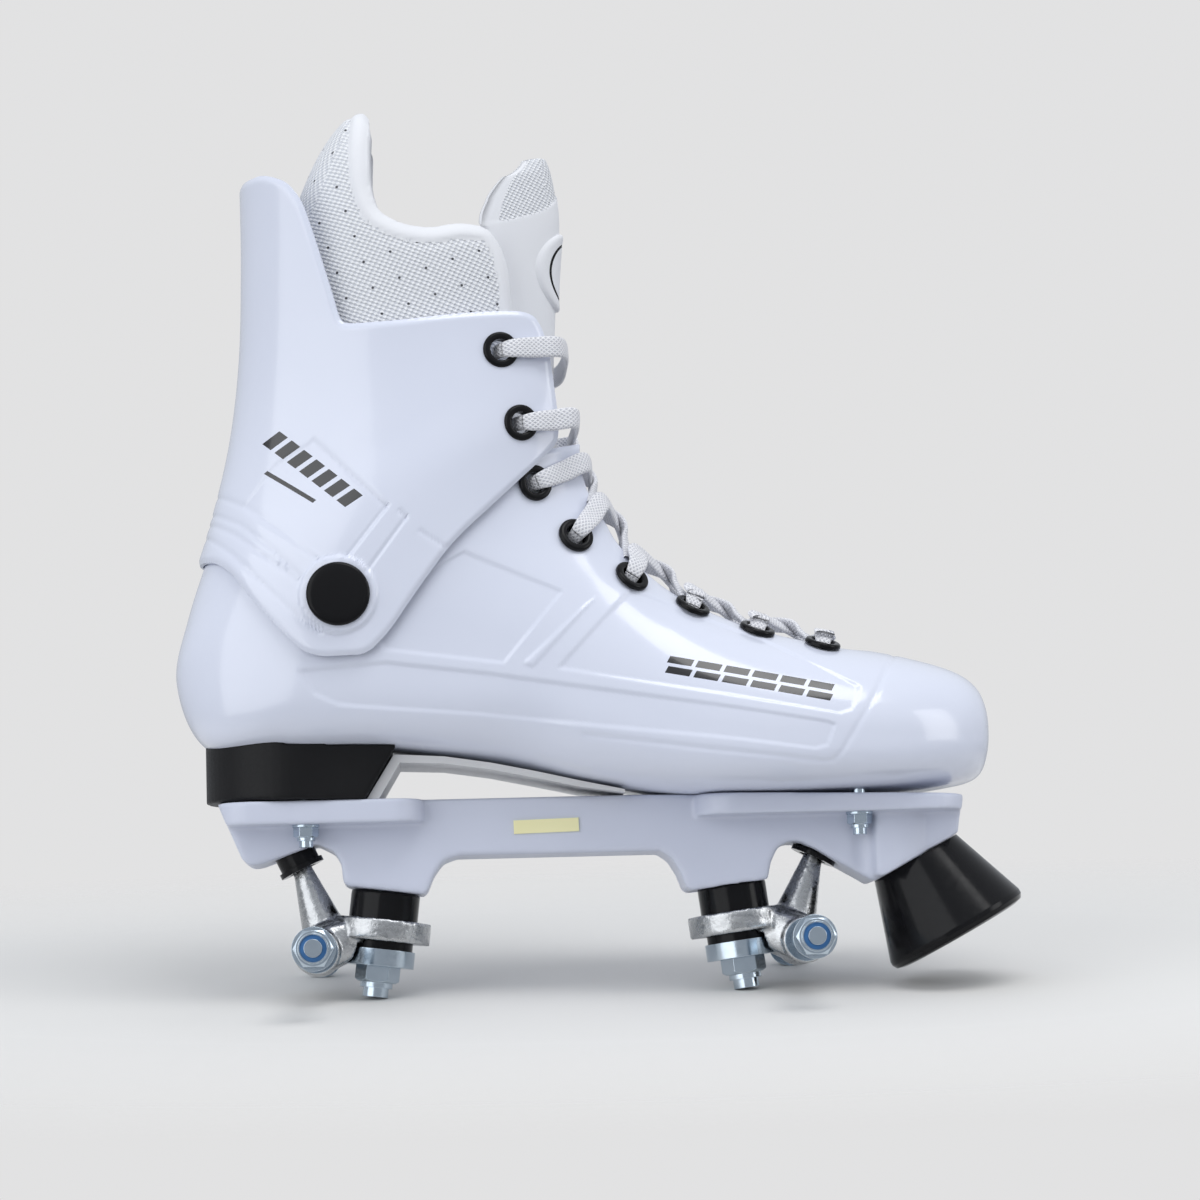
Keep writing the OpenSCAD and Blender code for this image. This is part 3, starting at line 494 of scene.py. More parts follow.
def knit(name, pitch=(2.7, 2.2), dots=True):
    """White knitted mesh: slanted rows of oval loops, with painted shade darkening the colour in the
    valleys between them and near-black dots of painted shade for tiny holes between some.
    """
    made, tree, shader = new_material(name)
    where = tree.nodes.new("ShaderNodeTexCoord").outputs["Object"]
    split = tree.nodes.new("ShaderNodeSeparateXYZ")
    tree.links.new(where, split.inputs[0])
    face = tree.nodes.new("ShaderNodeNewGeometry")
    facing = tree.nodes.new("ShaderNodeSeparateXYZ")
    tree.links.new(face.outputs["Normal"], facing.inputs[0])
    is_front = math_node(tree, "GREATER_THAN", math_node(tree, "ABSOLUTE", facing.outputs[0]),
                         math_node(tree, "ABSOLUTE", facing.outputs[1]))
    across = tree.nodes.new("ShaderNodeMix")
    tree.links.new(is_front, across.inputs["Factor"])
    tree.links.new(split.outputs[0], across.inputs["A"])
    tree.links.new(split.outputs[1], across.inputs["B"])
    u = across.outputs["Result"]
    v = split.outputs[2]
    turn = 2 * math.pi / MM

    def wave(a, b):
        total = math_node(tree, "ADD", math_node(tree, "MULTIPLY", u, a * turn),
                          math_node(tree, "MULTIPLY", v, b * turn))
        return math_node(tree, "SINE", total)

    first = wave(1 / pitch[0], 0.45 / pitch[1])
    second = wave(-0.30 / pitch[0], 1 / pitch[1])
    loops = math_node(tree, "MULTIPLY", first, second)
    height = ramp(tree, loops, 0.0, 1.0, -0.55, 0.6)
    fine = noise(tree, 2600, 2)
    height = math_node(tree, "ADD", height, math_node(tree, "MULTIPLY", fine, 0.35))
    # Painted shade: the colour darkens with the loops' height, into their valleys, with random tone
    # from the fine noise in the height.
    colour = blend_colour(tree, ramp(tree, height, 0, 1, 0.05, 0.95),
                          (0.60, 0.62, 0.68), (0.88, 0.895, 0.92))
    # Painted shade: near-black dots stand for the shade in tiny holes of the knit.
    if dots:
        spread = 11.0
        d1 = wave(1 / spread, 0.32 / spread)
        d2 = wave(-0.35 / spread, 1 / spread)
        dot = math_node(tree, "GREATER_THAN", math_node(tree, "ADD", d1, d2), 1.955)
        mix = tree.nodes.new("ShaderNodeMix")
        mix.data_type = "RGBA"
        tree.links.new(dot, mix.inputs["Factor"])
        tree.links.new(colour, mix.inputs["A"])
        mix.inputs["B"].default_value = (0.05, 0.05, 0.06, 1)
        colour = mix.outputs["Result"]
    tree.links.new(colour, shader.inputs["Base Color"])
    tree.links.new(ramp(tree, fine, 0.75, 0.95), shader.inputs["Roughness"])
    shader.inputs["Sheen Weight"].default_value = 0.25
    shader.inputs["Sheen Roughness"].default_value = 0.4
    tree.links.new(bump(tree, height, 0.9, 0.45), shader.inputs["Normal"])
    return made


def woven(name, low, high, pitch=1.1, depth=0.3):
    """Fine woven cloth for bindings, lining and laces, its colour darker in the weave's valleys as
    painted shade.
    """
    made, tree, shader = new_material(name)
    where = tree.nodes.new("ShaderNodeTexCoord").outputs["UV"]
    split = tree.nodes.new("ShaderNodeSeparateXYZ")
    tree.links.new(where, split.inputs[0])
    turn = 2 * math.pi / pitch
    slant = math_node(tree, "ADD", math_node(tree, "MULTIPLY", split.outputs[0], turn),
                      math_node(tree, "MULTIPLY", split.outputs[1], turn * 0.8))
    other = math_node(tree, "SUBTRACT", math_node(tree, "MULTIPLY", split.outputs[0], turn),
                      math_node(tree, "MULTIPLY", split.outputs[1], turn * 0.8))
    height = math_node(tree, "MAXIMUM", math_node(tree, "SINE", slant),
                       math_node(tree, "SINE", other))
    fine = noise(tree, 2200, 3)
    total = math_node(tree, "ADD", ramp(tree, height, 0, 1, -0.6, 1),
                      math_node(tree, "MULTIPLY", fine, 0.5))
    # Painted shade: the colour darkens in the weave's valleys, following the relief, with random
    # tone from the fine noise.
    tree.links.new(blend_colour(tree, ramp(tree, total, 0, 1, 0.1, 1.3), low, high),
                   shader.inputs["Base Color"])
    tree.links.new(ramp(tree, fine, 0.7, 0.92), shader.inputs["Roughness"])
    shader.inputs["Sheen Weight"].default_value = 0.3
    tree.links.new(bump(tree, total, 0.8, depth), shader.inputs["Normal"])
    return made


knit_mesh = knit("liner_knit")
tongue_cloth = knit("tongue_knit", pitch=(2.2, 1.8), dots=False)
binding = plain_surface("liner_binding", (0.74, 0.75, 0.79), (0.82, 0.83, 0.86), (0.6, 0.75),
                        grain=1400, bump_mm=0.08)
lace_cloth = woven("lace_weave", (0.56, 0.57, 0.63), (0.90, 0.90, 0.93), pitch=1.5, depth=0.35)


# ---- Lower shell ----

PANEL_REAR = [[-49.1, 161.1], [-13.5, 145.8], [-35.7, 119.6], [-78.8, 125.4], [-90, 140]]
SLOT_BAR = [[-5.2, 140.6], [-1.6, 143.0], [-25.2, 118.0], [-28.6, 119.4]]
PANEL_FRONT = [[0.4, 135.1], [-16.2, 117.3], [-1, 114.3], [42.2, 106.4], [86, 98.2],
               [90.4, 99.6], [93, 104], [93.6, 109], [60, 128], [12, 147]]
CHANNEL = [[-110.2, 118.7], [-105, 110], [-96.4, 105.9], [-89.9, 105.1], [-44.8, 101.2],
           [-1.5, 95.7], [42, 90.4], [76.5, 85.4], [81, 86.6], [84.4, 94.4], [81, 95.6],
           [42, 102.4], [-1.2, 109.5], [-40.9, 116.1], [-78.6, 121]]
LOWER_LINE = [[-7.3, 92.8], [41.6, 85.7], [79.6, 80.9], [83.2, 81.3], [86.2, 84.4],
              [98.4, 103.5], [105.6, 116.4], [111.3, 123.5], [114, 130]]


def lateral_relief(points, steps=((PANEL_REAR, 0.55), (PANEL_FRONT, 0.55), (SLOT_BAR, -0.5),
                                  (CHANNEL, 0.6))):
    """Height of the moulded panels and lines on a side of the shell."""
    xz = points[:, [0, 2]]
    height = np.zeros(len(points))
    for outline, depth in steps:
        height -= depth * smooth_step(to_outline(xz, outline), -0.45, 0.75)
    line = to_outline(xz, LOWER_LINE, closed=False)
    height -= 0.4 * np.exp(-((line / 0.9) ** 2))
    return height


def eyelet_frame(index, side):
    x, z, y, d = EYELETS[index]
    place = np.array([x, side * y, z])
    direction = np.array([d[0], side * d[1], d[2]])
    return place, direction / np.linalg.norm(direction)


def punch(points, keep, first, last):
    """Takes the eyelets' holes out of what is kept."""
    for index in range(first, last + 1):
        for side in (-1, 1):
            place, direction = eyelet_frame(index, side)
            away = points - place
            along = away @ direction
            across = np.linalg.norm(away - along[:, None] * direction, axis=1)
            near = np.abs(along) < 9
            keep = np.where(near, np.minimum(keep, across - EYELET_HOLE_R - 0.5), keep)
    return keep


def throat_distance(points):
    """How far outside the throat's slot a point is."""
    side = to_outline(points[:, [0, 2]], THROAT_SIDE)
    slot = np.minimum(side, THROAT_HALF - np.abs(points[:, 1]))
    end = np.linalg.norm(points[:, :2] - [84, 0], axis=1)
    round_end = np.where(points[:, 2] > 110, THROAT_HALF - end, -1e3)
    return -np.maximum(slot, round_end)


def make_shell():
    """The moulded boot shell: foot form, throat, eyelet holes, rim and raised lines."""
    grid = form_grid(SECTIONS, 0.02, 16, 0, 0.85, 440)
    rows, columns, _ = grid.shape
    points = grid.reshape(-1, 3)
    triangles = grid_triangles(rows, columns)
    tip = len(points)
    points = np.r_[points, grid[0].mean(0)[None]]
    ring = np.arange(columns)
    triangles = np.r_[triangles, np.stack([ring, np.full(columns, tip), np.roll(ring, -1)], 1)]
    throat = throat_distance(points)
    rim = to_outline(points[:, [0, 2]], SHELL_RIM)
    keep = punch(points, np.minimum(throat, rim), CUFF_ROWS, 7)
    height = lateral_relief(points) - rounded(np.minimum(throat, rim), 2.2, 1)
    points, triangles, _ = wall_of(points, triangles, height, keep, SHELL_WALL)
    made = mesh_object("shell_look", points, triangles, shell_plastic)
    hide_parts("shell")
    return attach(made, "boot")


# ---- Cuff ----

CUFF_LINES = [
    [[-150, 188], [-141, 187.5], [-130, 181], [-116, 170], [-102, 158.4]],
    [[-150, 181], [-142, 180.3], [-131, 174], [-119, 163.5], [-107.6, 151.3]],
    [[-150, 177], [-143, 176.6], [-133, 170.5], [-121, 160.5], [-108.4, 149.9]],
    [[-150, 172], [-144.5, 171.7], [-134, 163], [-120, 148], [-108, 136], [-102.2, 131.8]],
    [[-103.6, 203.7], [-77, 177.5]],
    [[-77, 177.5], [-91.8, 159.1]],
    [[-70.1, 173.2], [-85.1, 153.4]],
    [[-72.5, 175.6], [-70.1, 173.2]],
    [[-65.2, 168], [-56.2, 162.1]],
]
PANEL_UPPER = [[-103.6, 203.7], [-77, 177.5], [-91.8, 159.1], [-99, 158], [-116, 170],
               [-130, 181], [-118, 196]]


def make_cuff():
    """The cuff: an outline cut from the leg's form, with its lines, panel and pivot ring."""
    outer = CUFF_GAP + CUFF_WALL
    grid = form_grid(SECTIONS, 9, 19.6, outer, 0.85, 470)
    rows, columns, _ = grid.shape
    points = grid.reshape(-1, 3)
    triangles = grid_triangles(rows, columns)
    xz = points[:, [0, 2]]
    outline = to_outline(xz, smooth_outline(CUFF_OUTLINE))
    keep = punch(points, outline, 0, CUFF_ROWS - 1)
    height = -rounded(outline, 2.4, 1.1)
    for line in CUFF_LINES:
        distance = to_outline(xz, line, closed=False)
        height -= 0.42 * np.exp(-((distance / 0.75) ** 2))
    height -= 0.35 * smooth_step(to_outline(xz, PANEL_UPPER), -0.4, 0.8)
    away = np.linalg.norm(xz - PIVOT, axis=1)
    height += 1.2 * smooth_step(-away, -RING_R - 1.2, -RING_R + 0.2)
    points, triangles, _ = wall_of(points, triangles, height, keep, CUFF_WALL)
    made = mesh_object("cuff_look", points, triangles, cuff_plastic)
    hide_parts("cuff")
    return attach(made, "cuff")


def smooth_outline(outline, rounds=2):
    """Rounds an outline's corners a little by cutting them twice."""
    corners = np.array(outline, float)
    for _ in range(rounds):
        after = np.roll(corners, -1, axis=0)
        corners = np.stack([0.8 * corners + 0.2 * after, 0.2 * corners + 0.8 * after],
                           1).reshape(-1, 2)
    return corners


shell = make_shell()
cuff = make_cuff()


# ---- Eyelets, pivot caps ----

def lathe(profile, place, direction, steps=48):
    """Rings of a turned piece whose axis points along a direction."""
    axis = np.array(direction, float)
    axis = axis / np.linalg.norm(axis)
    across = np.cross(axis, [0, 0, 1.0])
    across = across / np.linalg.norm(across)
    other = np.cross(axis, across)
    angles = np.linspace(0, 2 * math.pi, steps, endpoint=False)
    rim = np.cos(angles)[:, None] * across + np.sin(angles)[:, None] * other
    return np.array([np.array(place) + rim * r + axis * h for r, h in profile])


def lathe_faces(rings, columns, start, closed):
    faces = []
    last = rings if closed else rings - 1
    for i in range(last):
        for j in range(columns):
            k = (j + 1) % columns
            n = (i + 1) % rings
            faces.append([start + i * columns + j, start + i * columns + k,
                          start + n * columns + k, start + n * columns + j])
    return faces


def arc(cx, cy, r, start, end, steps=6):
    return [(cx + r * math.cos(math.radians(a)), cy + r * math.sin(math.radians(a)))
            for a in np.linspace(start, end, steps)]


EYELET_PROFILE = (
    [(EYELET_HOLE_R, -3), (EYELET_HOLE_R, 0.7)]
    + arc(EYELET_HOLE_R + 0.9, 0.9, 0.9, 180, 80)
    + arc(EYELET_R - 1.1, 0.75, 1.1, 80, 0)
    + [(EYELET_R, 0.1), (EYELET_HOLE_R + 0.5, 0.1), (EYELET_HOLE_R + 0.5, -3)]
)


def make_eyelets(name, first, last, node, body):
    points = []
    faces = []
    for index in range(first, last + 1):
        for side in (-1, 1):
            place, direction = eyelet_frame(index, side)
            rings = lathe(EYELET_PROFILE, place + 0.3 * direction, direction)
            faces += lathe_faces(len(EYELET_PROFILE), 48, len(points), True)
            points += rings.reshape(-1, 3).tolist()
    made = mesh_object(name, points, faces, black_gloss)
    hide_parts(node)
    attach(made, body)


make_eyelets("shell_eyelet_rings", CUFF_ROWS, 7, "shell_eyelets", "boot")
make_eyelets("cuff_eyelet_rings", 0, CUFF_ROWS - 1, "cuff_eyelets", "cuff")


def make_caps():
    profile = ([(9, 49.6), (CAP_R, 49.6), (CAP_R, 51.6)]
               + arc(CAP_R - 1.4, 51.6, 1.4, 0, 80)
               + [(8, 53.1), (4, 53.2), (0.05, 53.2)])
    points = []
    faces = []
    for side in (-1, 1):
        rings = lathe(profile, (PIVOT[0], 0, PIVOT[1]), (0, side, 0), 64)
        faces += lathe_faces(len(profile), 64, len(points), False)
        points += rings.reshape(-1, 3).tolist()
    made = mesh_object("pivot_cap_looks", points, faces, black_gloss)
    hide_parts("pivot_caps")
    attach(made, "cuff")


make_caps()


# ---- Liner, tongue ----

def make_collar():
    """The inner boot's padded collar, with a rolled binding and a seam below it."""
    grid = form_grid(COLLAR, 0, 7, 0, 1.6, 200)
    rows, columns, _ = grid.shape
    points = grid.reshape(-1, 3)
    triangles = grid_triangles(rows, columns)
    top = len(points)
    points = np.r_[points, grid[-1].mean(0)[None]]
    ring = np.arange(columns) + (rows - 1) * columns
    triangles = np.r_[triangles, np.stack([np.roll(ring, -1), np.full(columns, top), ring], 1)]
    outline = to_outline(points[:, [0, 2]], smooth_outline(COLLAR_OUTLINE))
    seam = np.exp(-(((outline - 7) / 0.9) ** 2)) * 0.7
    height = -rounded(outline, 5, 3) - seam
    points, triangles, outer_count = wall_of(points, triangles, height, outline, 7.5)
    made = mesh_object("collar_look", points, triangles, knit_mesh, sharp=0)
    made.data.materials.append(binding)
    centres = points[triangles].mean(1)
    near = to_outline(centres[:, [0, 2]], smooth_outline(COLLAR_OUTLINE)) < 6.5
    is_binding = near | (np.arange(len(triangles)) >= outer_count)
    made.data.polygons.foreach_set("material_index", is_binding.astype(np.int32))
    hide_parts("liner_collar")
    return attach(made, "cuff")


make_collar()

TONGUE = np.array([
    [98, 117.5, 15, 1, 5], [84, 121.5, 16, 1.5, 5], [54, 129, 16, 2, 5],
    [28, 142, 16, 2.5, 5], [12.5, 156, 16, 3, 6], [2, 170, 16, 4, 6],
    [-5.5, 184, 16, 6, 6], [-11, 197, 16.5, 9, 6.5], [-14, 213, 18, 14, 7],
    [-13.6, 232, 19, 19, 7], [-12.6, 250, 19.5, 23, 7.5], [-11.5, 269, 20, 25, 8],
    [-10, 288, 20, 25.5, 9], [-10.6, 300, 18.5, 22, 9], [-12.3, 310, 15.5, 15, 8],
    [-14.5, 316, 10, 7, 5],
])
# The seam between the knit top and the smooth panel: its row at the middle, and its fall
SEAM_ROW = 13.1
SEAM_FALL = 1.3
BINDING_FROM = 0.93


def tongue_grid(rows, across, lift):
    """Points on the tongue's front at shares of its width, raised by lift."""
    path = section_at(TONGUE, rows)
    along = section_at(TONGUE, rows + 0.02)[:, :2] - section_at(TONGUE, rows - 0.02)[:, :2]
    along /= np.linalg.norm(along, axis=1)[:, None]
    out = np.stack([along[:, 1], -along[:, 0]], 1)
    depth = lift - path[:, 3:4] * np.abs(across) ** 2
    return np.stack([path[:, :1] + out[:, :1] * depth, path[:, 2:3] * across,
                     path[:, 1:2] + out[:, 1:] * depth], -1)


def make_tongue():
    """The tongue: a padded strip, knit above a slanted seam and smooth below it."""
    steps = 36
    rows = np.linspace(0.03, len(TONGUE) - 1.03, 380)
    u = np.linspace(-1, 1, steps)
    puff = (1 - np.abs(u) ** 5)[None, :]
    thick = section_at(TONGUE, rows)[:, 4:5]
    taper = np.clip(np.minimum(rows - 0.03, len(TONGUE) - 1.03 - rows) / 0.35, 0, 1)[:, None]
    taper = np.sqrt(1 - (1 - taper) ** 2)
    below_seam = SEAM_ROW - SEAM_FALL * np.abs(u)[None, :] - rows[:, None]
    panel = smooth_step(below_seam, -0.05, 0.05)
    half = thick / 2 * puff * taper
    front = tongue_grid(rows, u[None, :], -thick / 2 + half + 0.6 * panel - 0.6)
    back = tongue_grid(rows, u[None, ::-1], -thick / 2 - half)
    grid = np.concatenate([front, back], axis=1)
    count = 2 * steps
    faces = grid_triangles(len(grid), count)[:, ::-1]
    made = mesh_object("tongue_look", grid.reshape(-1, 3), faces, tongue_cloth, sharp=0)
    made.data.materials.append(binding)
    row = faces.min(1) // count
    column = faces.min(1) % count
    across = np.abs(u[np.minimum(column, steps - 1)])
    smooth_part = (rows[row] < SEAM_ROW - SEAM_FALL * across) | (across > BINDING_FROM)
    lining = column >= steps
    made.data.polygons.foreach_set("material_index", (smooth_part | lining).astype(np.int32))
    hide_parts("tongue_lower", "tongue_upper")
    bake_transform(made)


def make_badge():
    """An oval patch on the tongue: white, with a dark ring and a raised rim."""
    middle, half_rows, half_u = 11.1, 0.76, 0.56
    steps = 72
    rings = [0.0001, 0.25, 0.45, 0.62, 0.66, 0.7, 0.74, 0.78, 0.9, 0.96, 1.0, 1.02]
    lifts = [1.3, 1.3, 1.3, 1.3, 1.3, 1.3, 1.3, 1.4, 1.6, 1.5, 1.1, -0.4]
    angles = np.linspace(0, 2 * math.pi, steps, endpoint=False)
    points = []
    for share, lift in zip(rings, lifts):
        for a in angles:
            row = np.array([middle + half_rows * share * math.sin(a)])
            across = np.array([[half_u * share * math.cos(a)]])
            points.append(tongue_grid(row, across, lift)[0, 0])
    faces = lathe_faces(len(rings), steps, 0, False)
    made = mesh_object("tongue_badge_look", points, faces, binding, sharp=0)
    made.data.materials.append(black_gloss)
    index = [1 if 0.66 <= rings[k // steps] < 0.74 else 0 for k in range(len(faces))]
    made.data.polygons.foreach_set("material_index", np.array(index, np.int32))
    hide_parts("tongue_badge")
    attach(made, "cuff")


make_tongue()
make_badge()


# ---- Laces ----

def ribbon(controls, ups, widths, samples=14, sides=14):
    """A flat lace through points. Each has the way its flat side faces and its width."""
    table = np.hstack([np.array(controls, float), np.array(ups, float),
                       np.array(widths, float)[:, None]])
    t = np.linspace(0, len(table) - 1, (len(table) - 1) * samples + 1)
    path = section_at(table, t)
    ahead = np.gradient(path[:, :3], axis=0)
    ahead /= np.linalg.norm(ahead, axis=1)[:, None]
    across = np.cross(ahead, path[:, 3:6])
    across /= np.linalg.norm(across, axis=1)[:, None]
    up = np.cross(across, ahead)
    run = np.r_[0, np.cumsum(np.linalg.norm(np.diff(path[:, :3], axis=0), axis=1))]
    angles = np.linspace(0, 2 * math.pi, sides, endpoint=False)
    c, k = np.cos(angles), np.sin(angles)
    flat = np.sign(c) * np.abs(c) ** 0.75
    rise = np.sign(k) * np.abs(k) ** 0.6
    half_w = path[:, 6:7] / 2
    half_t = LACE_THICK / 2 * np.sqrt(LACE_WIDTH / path[:, 6:7])
    grid = (path[:, None, :3] + across[:, None, :] * (half_w * flat)[:, :, None]
            + up[:, None, :] * (half_t * rise)[:, :, None])
    weave = np.stack([(half_w * flat), np.repeat(run[:, None], sides, 1)], -1)
    return grid, weave


def lace_ends(index, side):
    """Points from inside an eyelet up to the flap's edge on one side."""
    place, direction = eyelet_frame(index, side)
    edge = np.array(LACE_EDGE[index], float) * [1, side, 1]
    toward = edge - place
    toward -= direction * (toward @ direction)
    toward /= np.linalg.norm(toward)
    middle = (place + direction * 2.6 + edge) / 2 + direction * 1.2
    points = [place - direction * 5 - toward * 0.6, place + direction * 0.4 + toward * 0.9,
              place + direction * 2.9 + toward * 4.4, middle, edge]
    edge_up = direction + np.array(LACE_UP[index]) + [0, side, 0]
    ups = [toward, toward * 0.8 + direction, direction, direction, edge_up]
    return points, ups, [5.2, 5.6, 6.9, 7.8, 7.8]


def cross_strand(index, side):
    """A lace from an eyelet over the tongue and under the edge at the next row."""
    points, ups, widths = lace_ends(index, side)
    lift = np.array(LACE_UP[index]) * (1.9 if side > 0 else 0.2)
    far = np.array(LACE_EDGE[index + 1], float) * [1, -side, 1]
    far_up = np.array(LACE_UP[index + 1])
    points += [np.array(LACE_MID[index]) + lift,
               (np.array(LACE_MID[index]) + far) / 2 - far_up * 1.5,
               far - far_up * 5.5 + [0, -side * 4, 0]]
    rolled = np.array(LACE_UP[index]) + [0, side, 0]
    ups += [rolled, (far_up + rolled) / 2, far_up]
    return points, ups, widths + [7.8, 7.6, 7.4]


def bar_strand(index):
    """A lace straight across from one eyelet of a row to the other."""
    near = lace_ends(index, -1)
    far = lace_ends(index, 1)
    points = near[0] + [np.array(LACE_MID[index], float)] + far[0][::-1]
    ups = near[1] + [LACE_UP[index]] + far[1][::-1]
    return points, ups, near[2] + [7.8] + far[2][::-1]


def lace_object(name, strands, node):
    """All strands of one lace node in a mesh, with its weave as UVs."""
    points = []
    faces = []
    uvs = []
    for strand in strands:
        grid, weave = ribbon(*strand)
        rows, columns, _ = grid.shape
        faces += lathe_faces(rows, columns, len(points), False)
        points += grid.reshape(-1, 3).tolist()
        uvs += weave.reshape(-1, 2).tolist()
    made = mesh_object(name, points, faces, lace_cloth, sharp=0)
    layer = made.data.uv_layers.new(name="weave")
    corner = np.empty(len(made.data.loops), np.int32)
    made.data.loops.foreach_get("vertex_index", corner)
    layer.data.foreach_set("uv", np.array(uvs, np.float32)[corner].ravel())
    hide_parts(node)
    return made


shell_strands = [cross_strand(i, side) for i in range(CUFF_ROWS, 7) for side in (-1, 1)]
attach(lace_object("shell_lace_look", shell_strands + [bar_strand(7)], "shell_laces"), "boot")
cuff_strands = [bar_strand(0)] + [cross_strand(1, side) for side in (-1, 1)]
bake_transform(lace_object("cuff_lace_look", cuff_strands, "cuff_laces"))


# ---- Castings and mouldings: CAD shapes with their edges worn round ----

def softened(node, name, material, body, voxel=0.8, passes=4):
    """A copy of a CAD node, remeshed and smoothed so that its corners are fillets."""
    mesh = NODES[node].data.copy()
    made = bpy.data.objects.new(name, mesh)
    bpy.context.collection.objects.link(made)
    remesh = made.modifiers.new("remesh", "REMESH")
    remesh.mode = "VOXEL"
    remesh.voxel_size = voxel * MM
    smooth = made.modifiers.new("smooth", "SMOOTH")
    smooth.iterations = passes
    smooth.factor = 0.5
    graph = bpy.context.evaluated_depsgraph_get()
    final = bpy.data.meshes.new_from_object(made.evaluated_get(graph))
    made.modifiers.clear()
    made.data = final
    final.materials.clear()
    final.materials.append(material)
    final.shade_smooth()
    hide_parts(node)
    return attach(made, body)


softened("plate", "plate_look", plate_plastic, "boot", voxel=0.9, passes=6)
softened("heel_block", "heel_block_look", black_satin, "boot", passes=3)
for end in ENDS:
    softened(f"hanger_{end}", f"hanger_{end}_look", cast, f"{end}_truck",
             voxel=0.7, passes=5)
    for cushion in ("upper_cushion", "lower_cushion"):
        softened(f"{cushion}_{end}", f"{cushion}_{end}_look", black_rubber,
                 "boot", voxel=0.6, passes=3)


# ---- CAD nodes that keep their shape ----

def paint(material, *names):
    """Gives CAD nodes a material and leaves their shapes alone."""
    for name in names:
        node = NODES[name]
        node.data.materials.clear()
        node.data.materials.append(material)


paint(silver, "sole_strip")
paint(foam, "footbed")
paint(knit_mesh, "liner_foot")
paint(bush_nylon, "pivot_bushes")
paint(zinc, "pivot_shoulder_bolts", "mount_bolts", "mount_washers", "mount_nuts",
      "toe_stop_bolt", "toe_stop_washer")
paint(label_paper, "side_label")
paint(black_rubber, "toe_stop")
for end in ENDS:
    paint(zinc, *(f"{part}_{end}" for part in ("kingpin", "cup_washer", "kingpin_nut", "axle",
                                               "inner_washers")))
    paint(black_gloss, f"pivot_cup_{end}")
    for side in SIDES:
        paint(zinc, f"axle_nut_{end}_{side}", f"outer_washer_{end}_{side}")
        paint(blue_nylon, f"nut_insert_{end}_{side}")


# ---- Floor, light, camera ----

CAMERA_FROM = Vector((-65.7, -1589.5, -23.1)) * MM
VIEW_DIRECTION = Vector((0.04215, 0.99346, 0.10612))
ROLL = math.radians(-1.5)
LENS = 128
FLOOR_TILT = math.radians(9.6)


def make_camera():
    data = bpy.data.cameras.new("camera")
    data.lens = LENS
    data.sensor_width = 36
    data.clip_start = 0.05
    data.clip_end = 60
    camera = bpy.data.objects.new("camera", data)
    bpy.context.collection.objects.link(camera)
    turn = VIEW_DIRECTION.to_track_quat("-Z", "Y")
    camera.rotation_mode = "QUATERNION"
    camera.rotation_quaternion = turn @ Matrix.Rotation(ROLL, 4, "Z").to_quaternion()
    camera.location = CAMERA_FROM
    bpy.context.scene.camera = camera


def make_floor():
    """The skate stands tipped back on its kingpin ends and two axle nuts, so the floor tilts."""
    half_x = 620
    half_y = 340
    middle_y = 60
    steps = 96
    points = [(0, middle_y, middle_y * math.tan(FLOOR_TILT))]
    for k in range(steps):
        a = 2 * math.pi * k / steps
        y = middle_y + half_y * math.sin(a)
        points.append((half_x * math.cos(a), y, y * math.tan(FLOOR_TILT)))
    faces = [[0, k + 1, (k + 1) % steps + 1] for k in range(steps)]
    made, tree, shader = new_material("floor_paint")
    where = tree.nodes.new("ShaderNodeTexCoord").outputs["Object"]
    split = tree.nodes.new("ShaderNodeSeparateXYZ")
    tree.links.new(where, split.inputs[0])
    x = math_node(tree, "DIVIDE", split.outputs[0], half_x * MM)
    off_middle = math_node(tree, "SUBTRACT", split.outputs[1], middle_y * MM)
    y = math_node(tree, "DIVIDE", off_middle, half_y * MM)
    far = math_node(tree, "SQRT", math_node(tree, "ADD", math_node(tree, "POWER", x, 2),
                                            math_node(tree, "POWER", y, 2)))
    tree.links.new(ramp(tree, far, 1, 0, 0.5, 0.98), shader.inputs["Alpha"])
    tone = noise(tree, 3, 2)
    tree.links.new(blend_colour(tree, tone, (0.745, 0.735, 0.715), (0.765, 0.755, 0.735)),
                   shader.inputs["Base Color"])
    shader.inputs["Roughness"].default_value = 0.9
    floor = mesh_object("floor", points, faces, made)


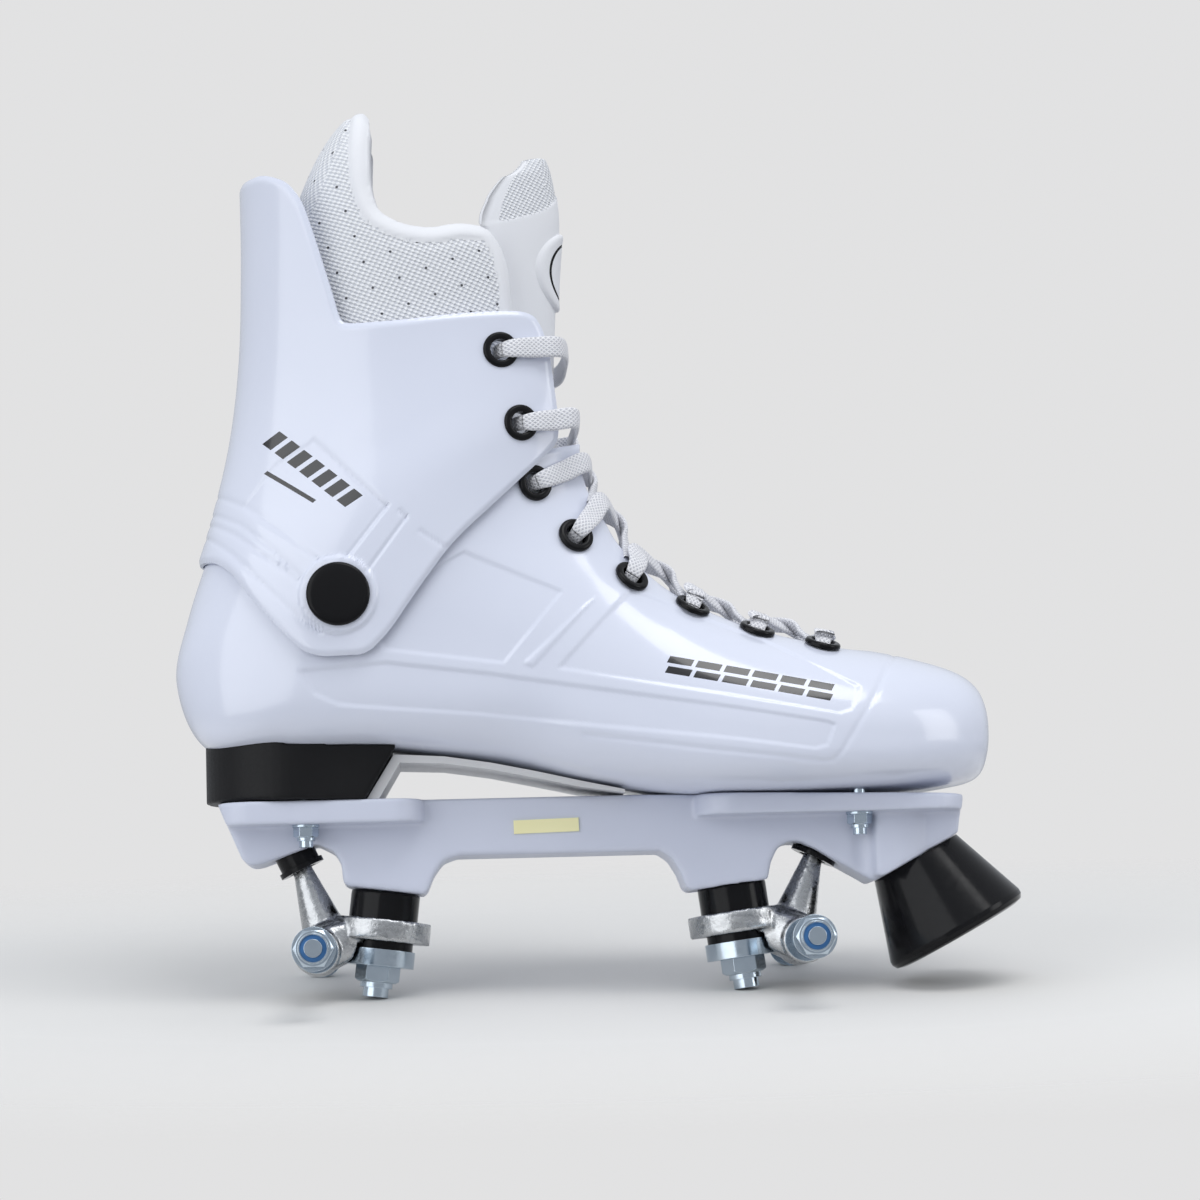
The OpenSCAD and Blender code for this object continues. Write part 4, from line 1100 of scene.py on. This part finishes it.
def area_light(name, place, aim, size, power, colour=(1, 1, 1)):
    """A soft rectangular light. Places and sizes are in metres."""
    data = bpy.data.lights.new(name, "AREA")
    data.shape = "RECTANGLE"
    data.size, data.size_y = size
    data.energy = power
    data.color = colour
    lamp = bpy.data.objects.new(name, data)
    bpy.context.collection.objects.link(lamp)
    lamp.location = place
    lamp.rotation_mode = "QUATERNION"
    lamp.rotation_quaternion = (Vector(aim) - Vector(place)).to_track_quat("-Z", "Y")


def make_world():
    """A plain pale backdrop for the camera, and a dome of light, darker low down."""
    world = bpy.data.worlds.new("studio")
    bpy.context.scene.world = world
    world.use_nodes = True
    tree = world.node_tree
    seen = tree.nodes["Background"]
    seen.inputs["Color"].default_value = (0.76, 0.76, 0.765, 1)
    glow = tree.nodes.new("ShaderNodeBackground")
    glow.inputs["Color"].default_value = (0.9, 0.94, 1.0, 1)
    where = tree.nodes.new("ShaderNodeTexCoord").outputs["Generated"]
    split = tree.nodes.new("ShaderNodeSeparateXYZ")
    tree.links.new(where, split.inputs[0])
    height = math_node(tree, "MULTIPLY_ADD", split.outputs[2], 0.5)
    height.node.inputs[2].default_value = 0.5
    tree.links.new(ramp(tree, height, 0.2, 0.74, 0.3, 0.75), glow.inputs["Strength"])
    path = tree.nodes.new("ShaderNodeLightPath")
    mix = tree.nodes.new("ShaderNodeMixShader")
    tree.links.new(path.outputs["Is Camera Ray"], mix.inputs[0])
    tree.links.new(glow.outputs[0], mix.inputs[1])
    tree.links.new(seen.outputs[0], mix.inputs[2])
    tree.links.new(mix.outputs[0], tree.nodes["World Output"].inputs["Surface"])


make_camera()
make_floor()
make_world()
MIDDLE = (0, 0, 0.16)
area_light("key", (0.35, -0.75, 1.5), MIDDLE, (1.1, 0.7), 9)
area_light("left", (-1.75, -1.6, 0.5), MIDDLE, (2.4, 2.4), 27, (0.97, 0.985, 1))
area_light("toe_side", (1.3, -0.5, 0.5), MIDDLE, (0.5, 0.8), 3)

bpy.context.scene.view_settings.view_transform = "Standard"
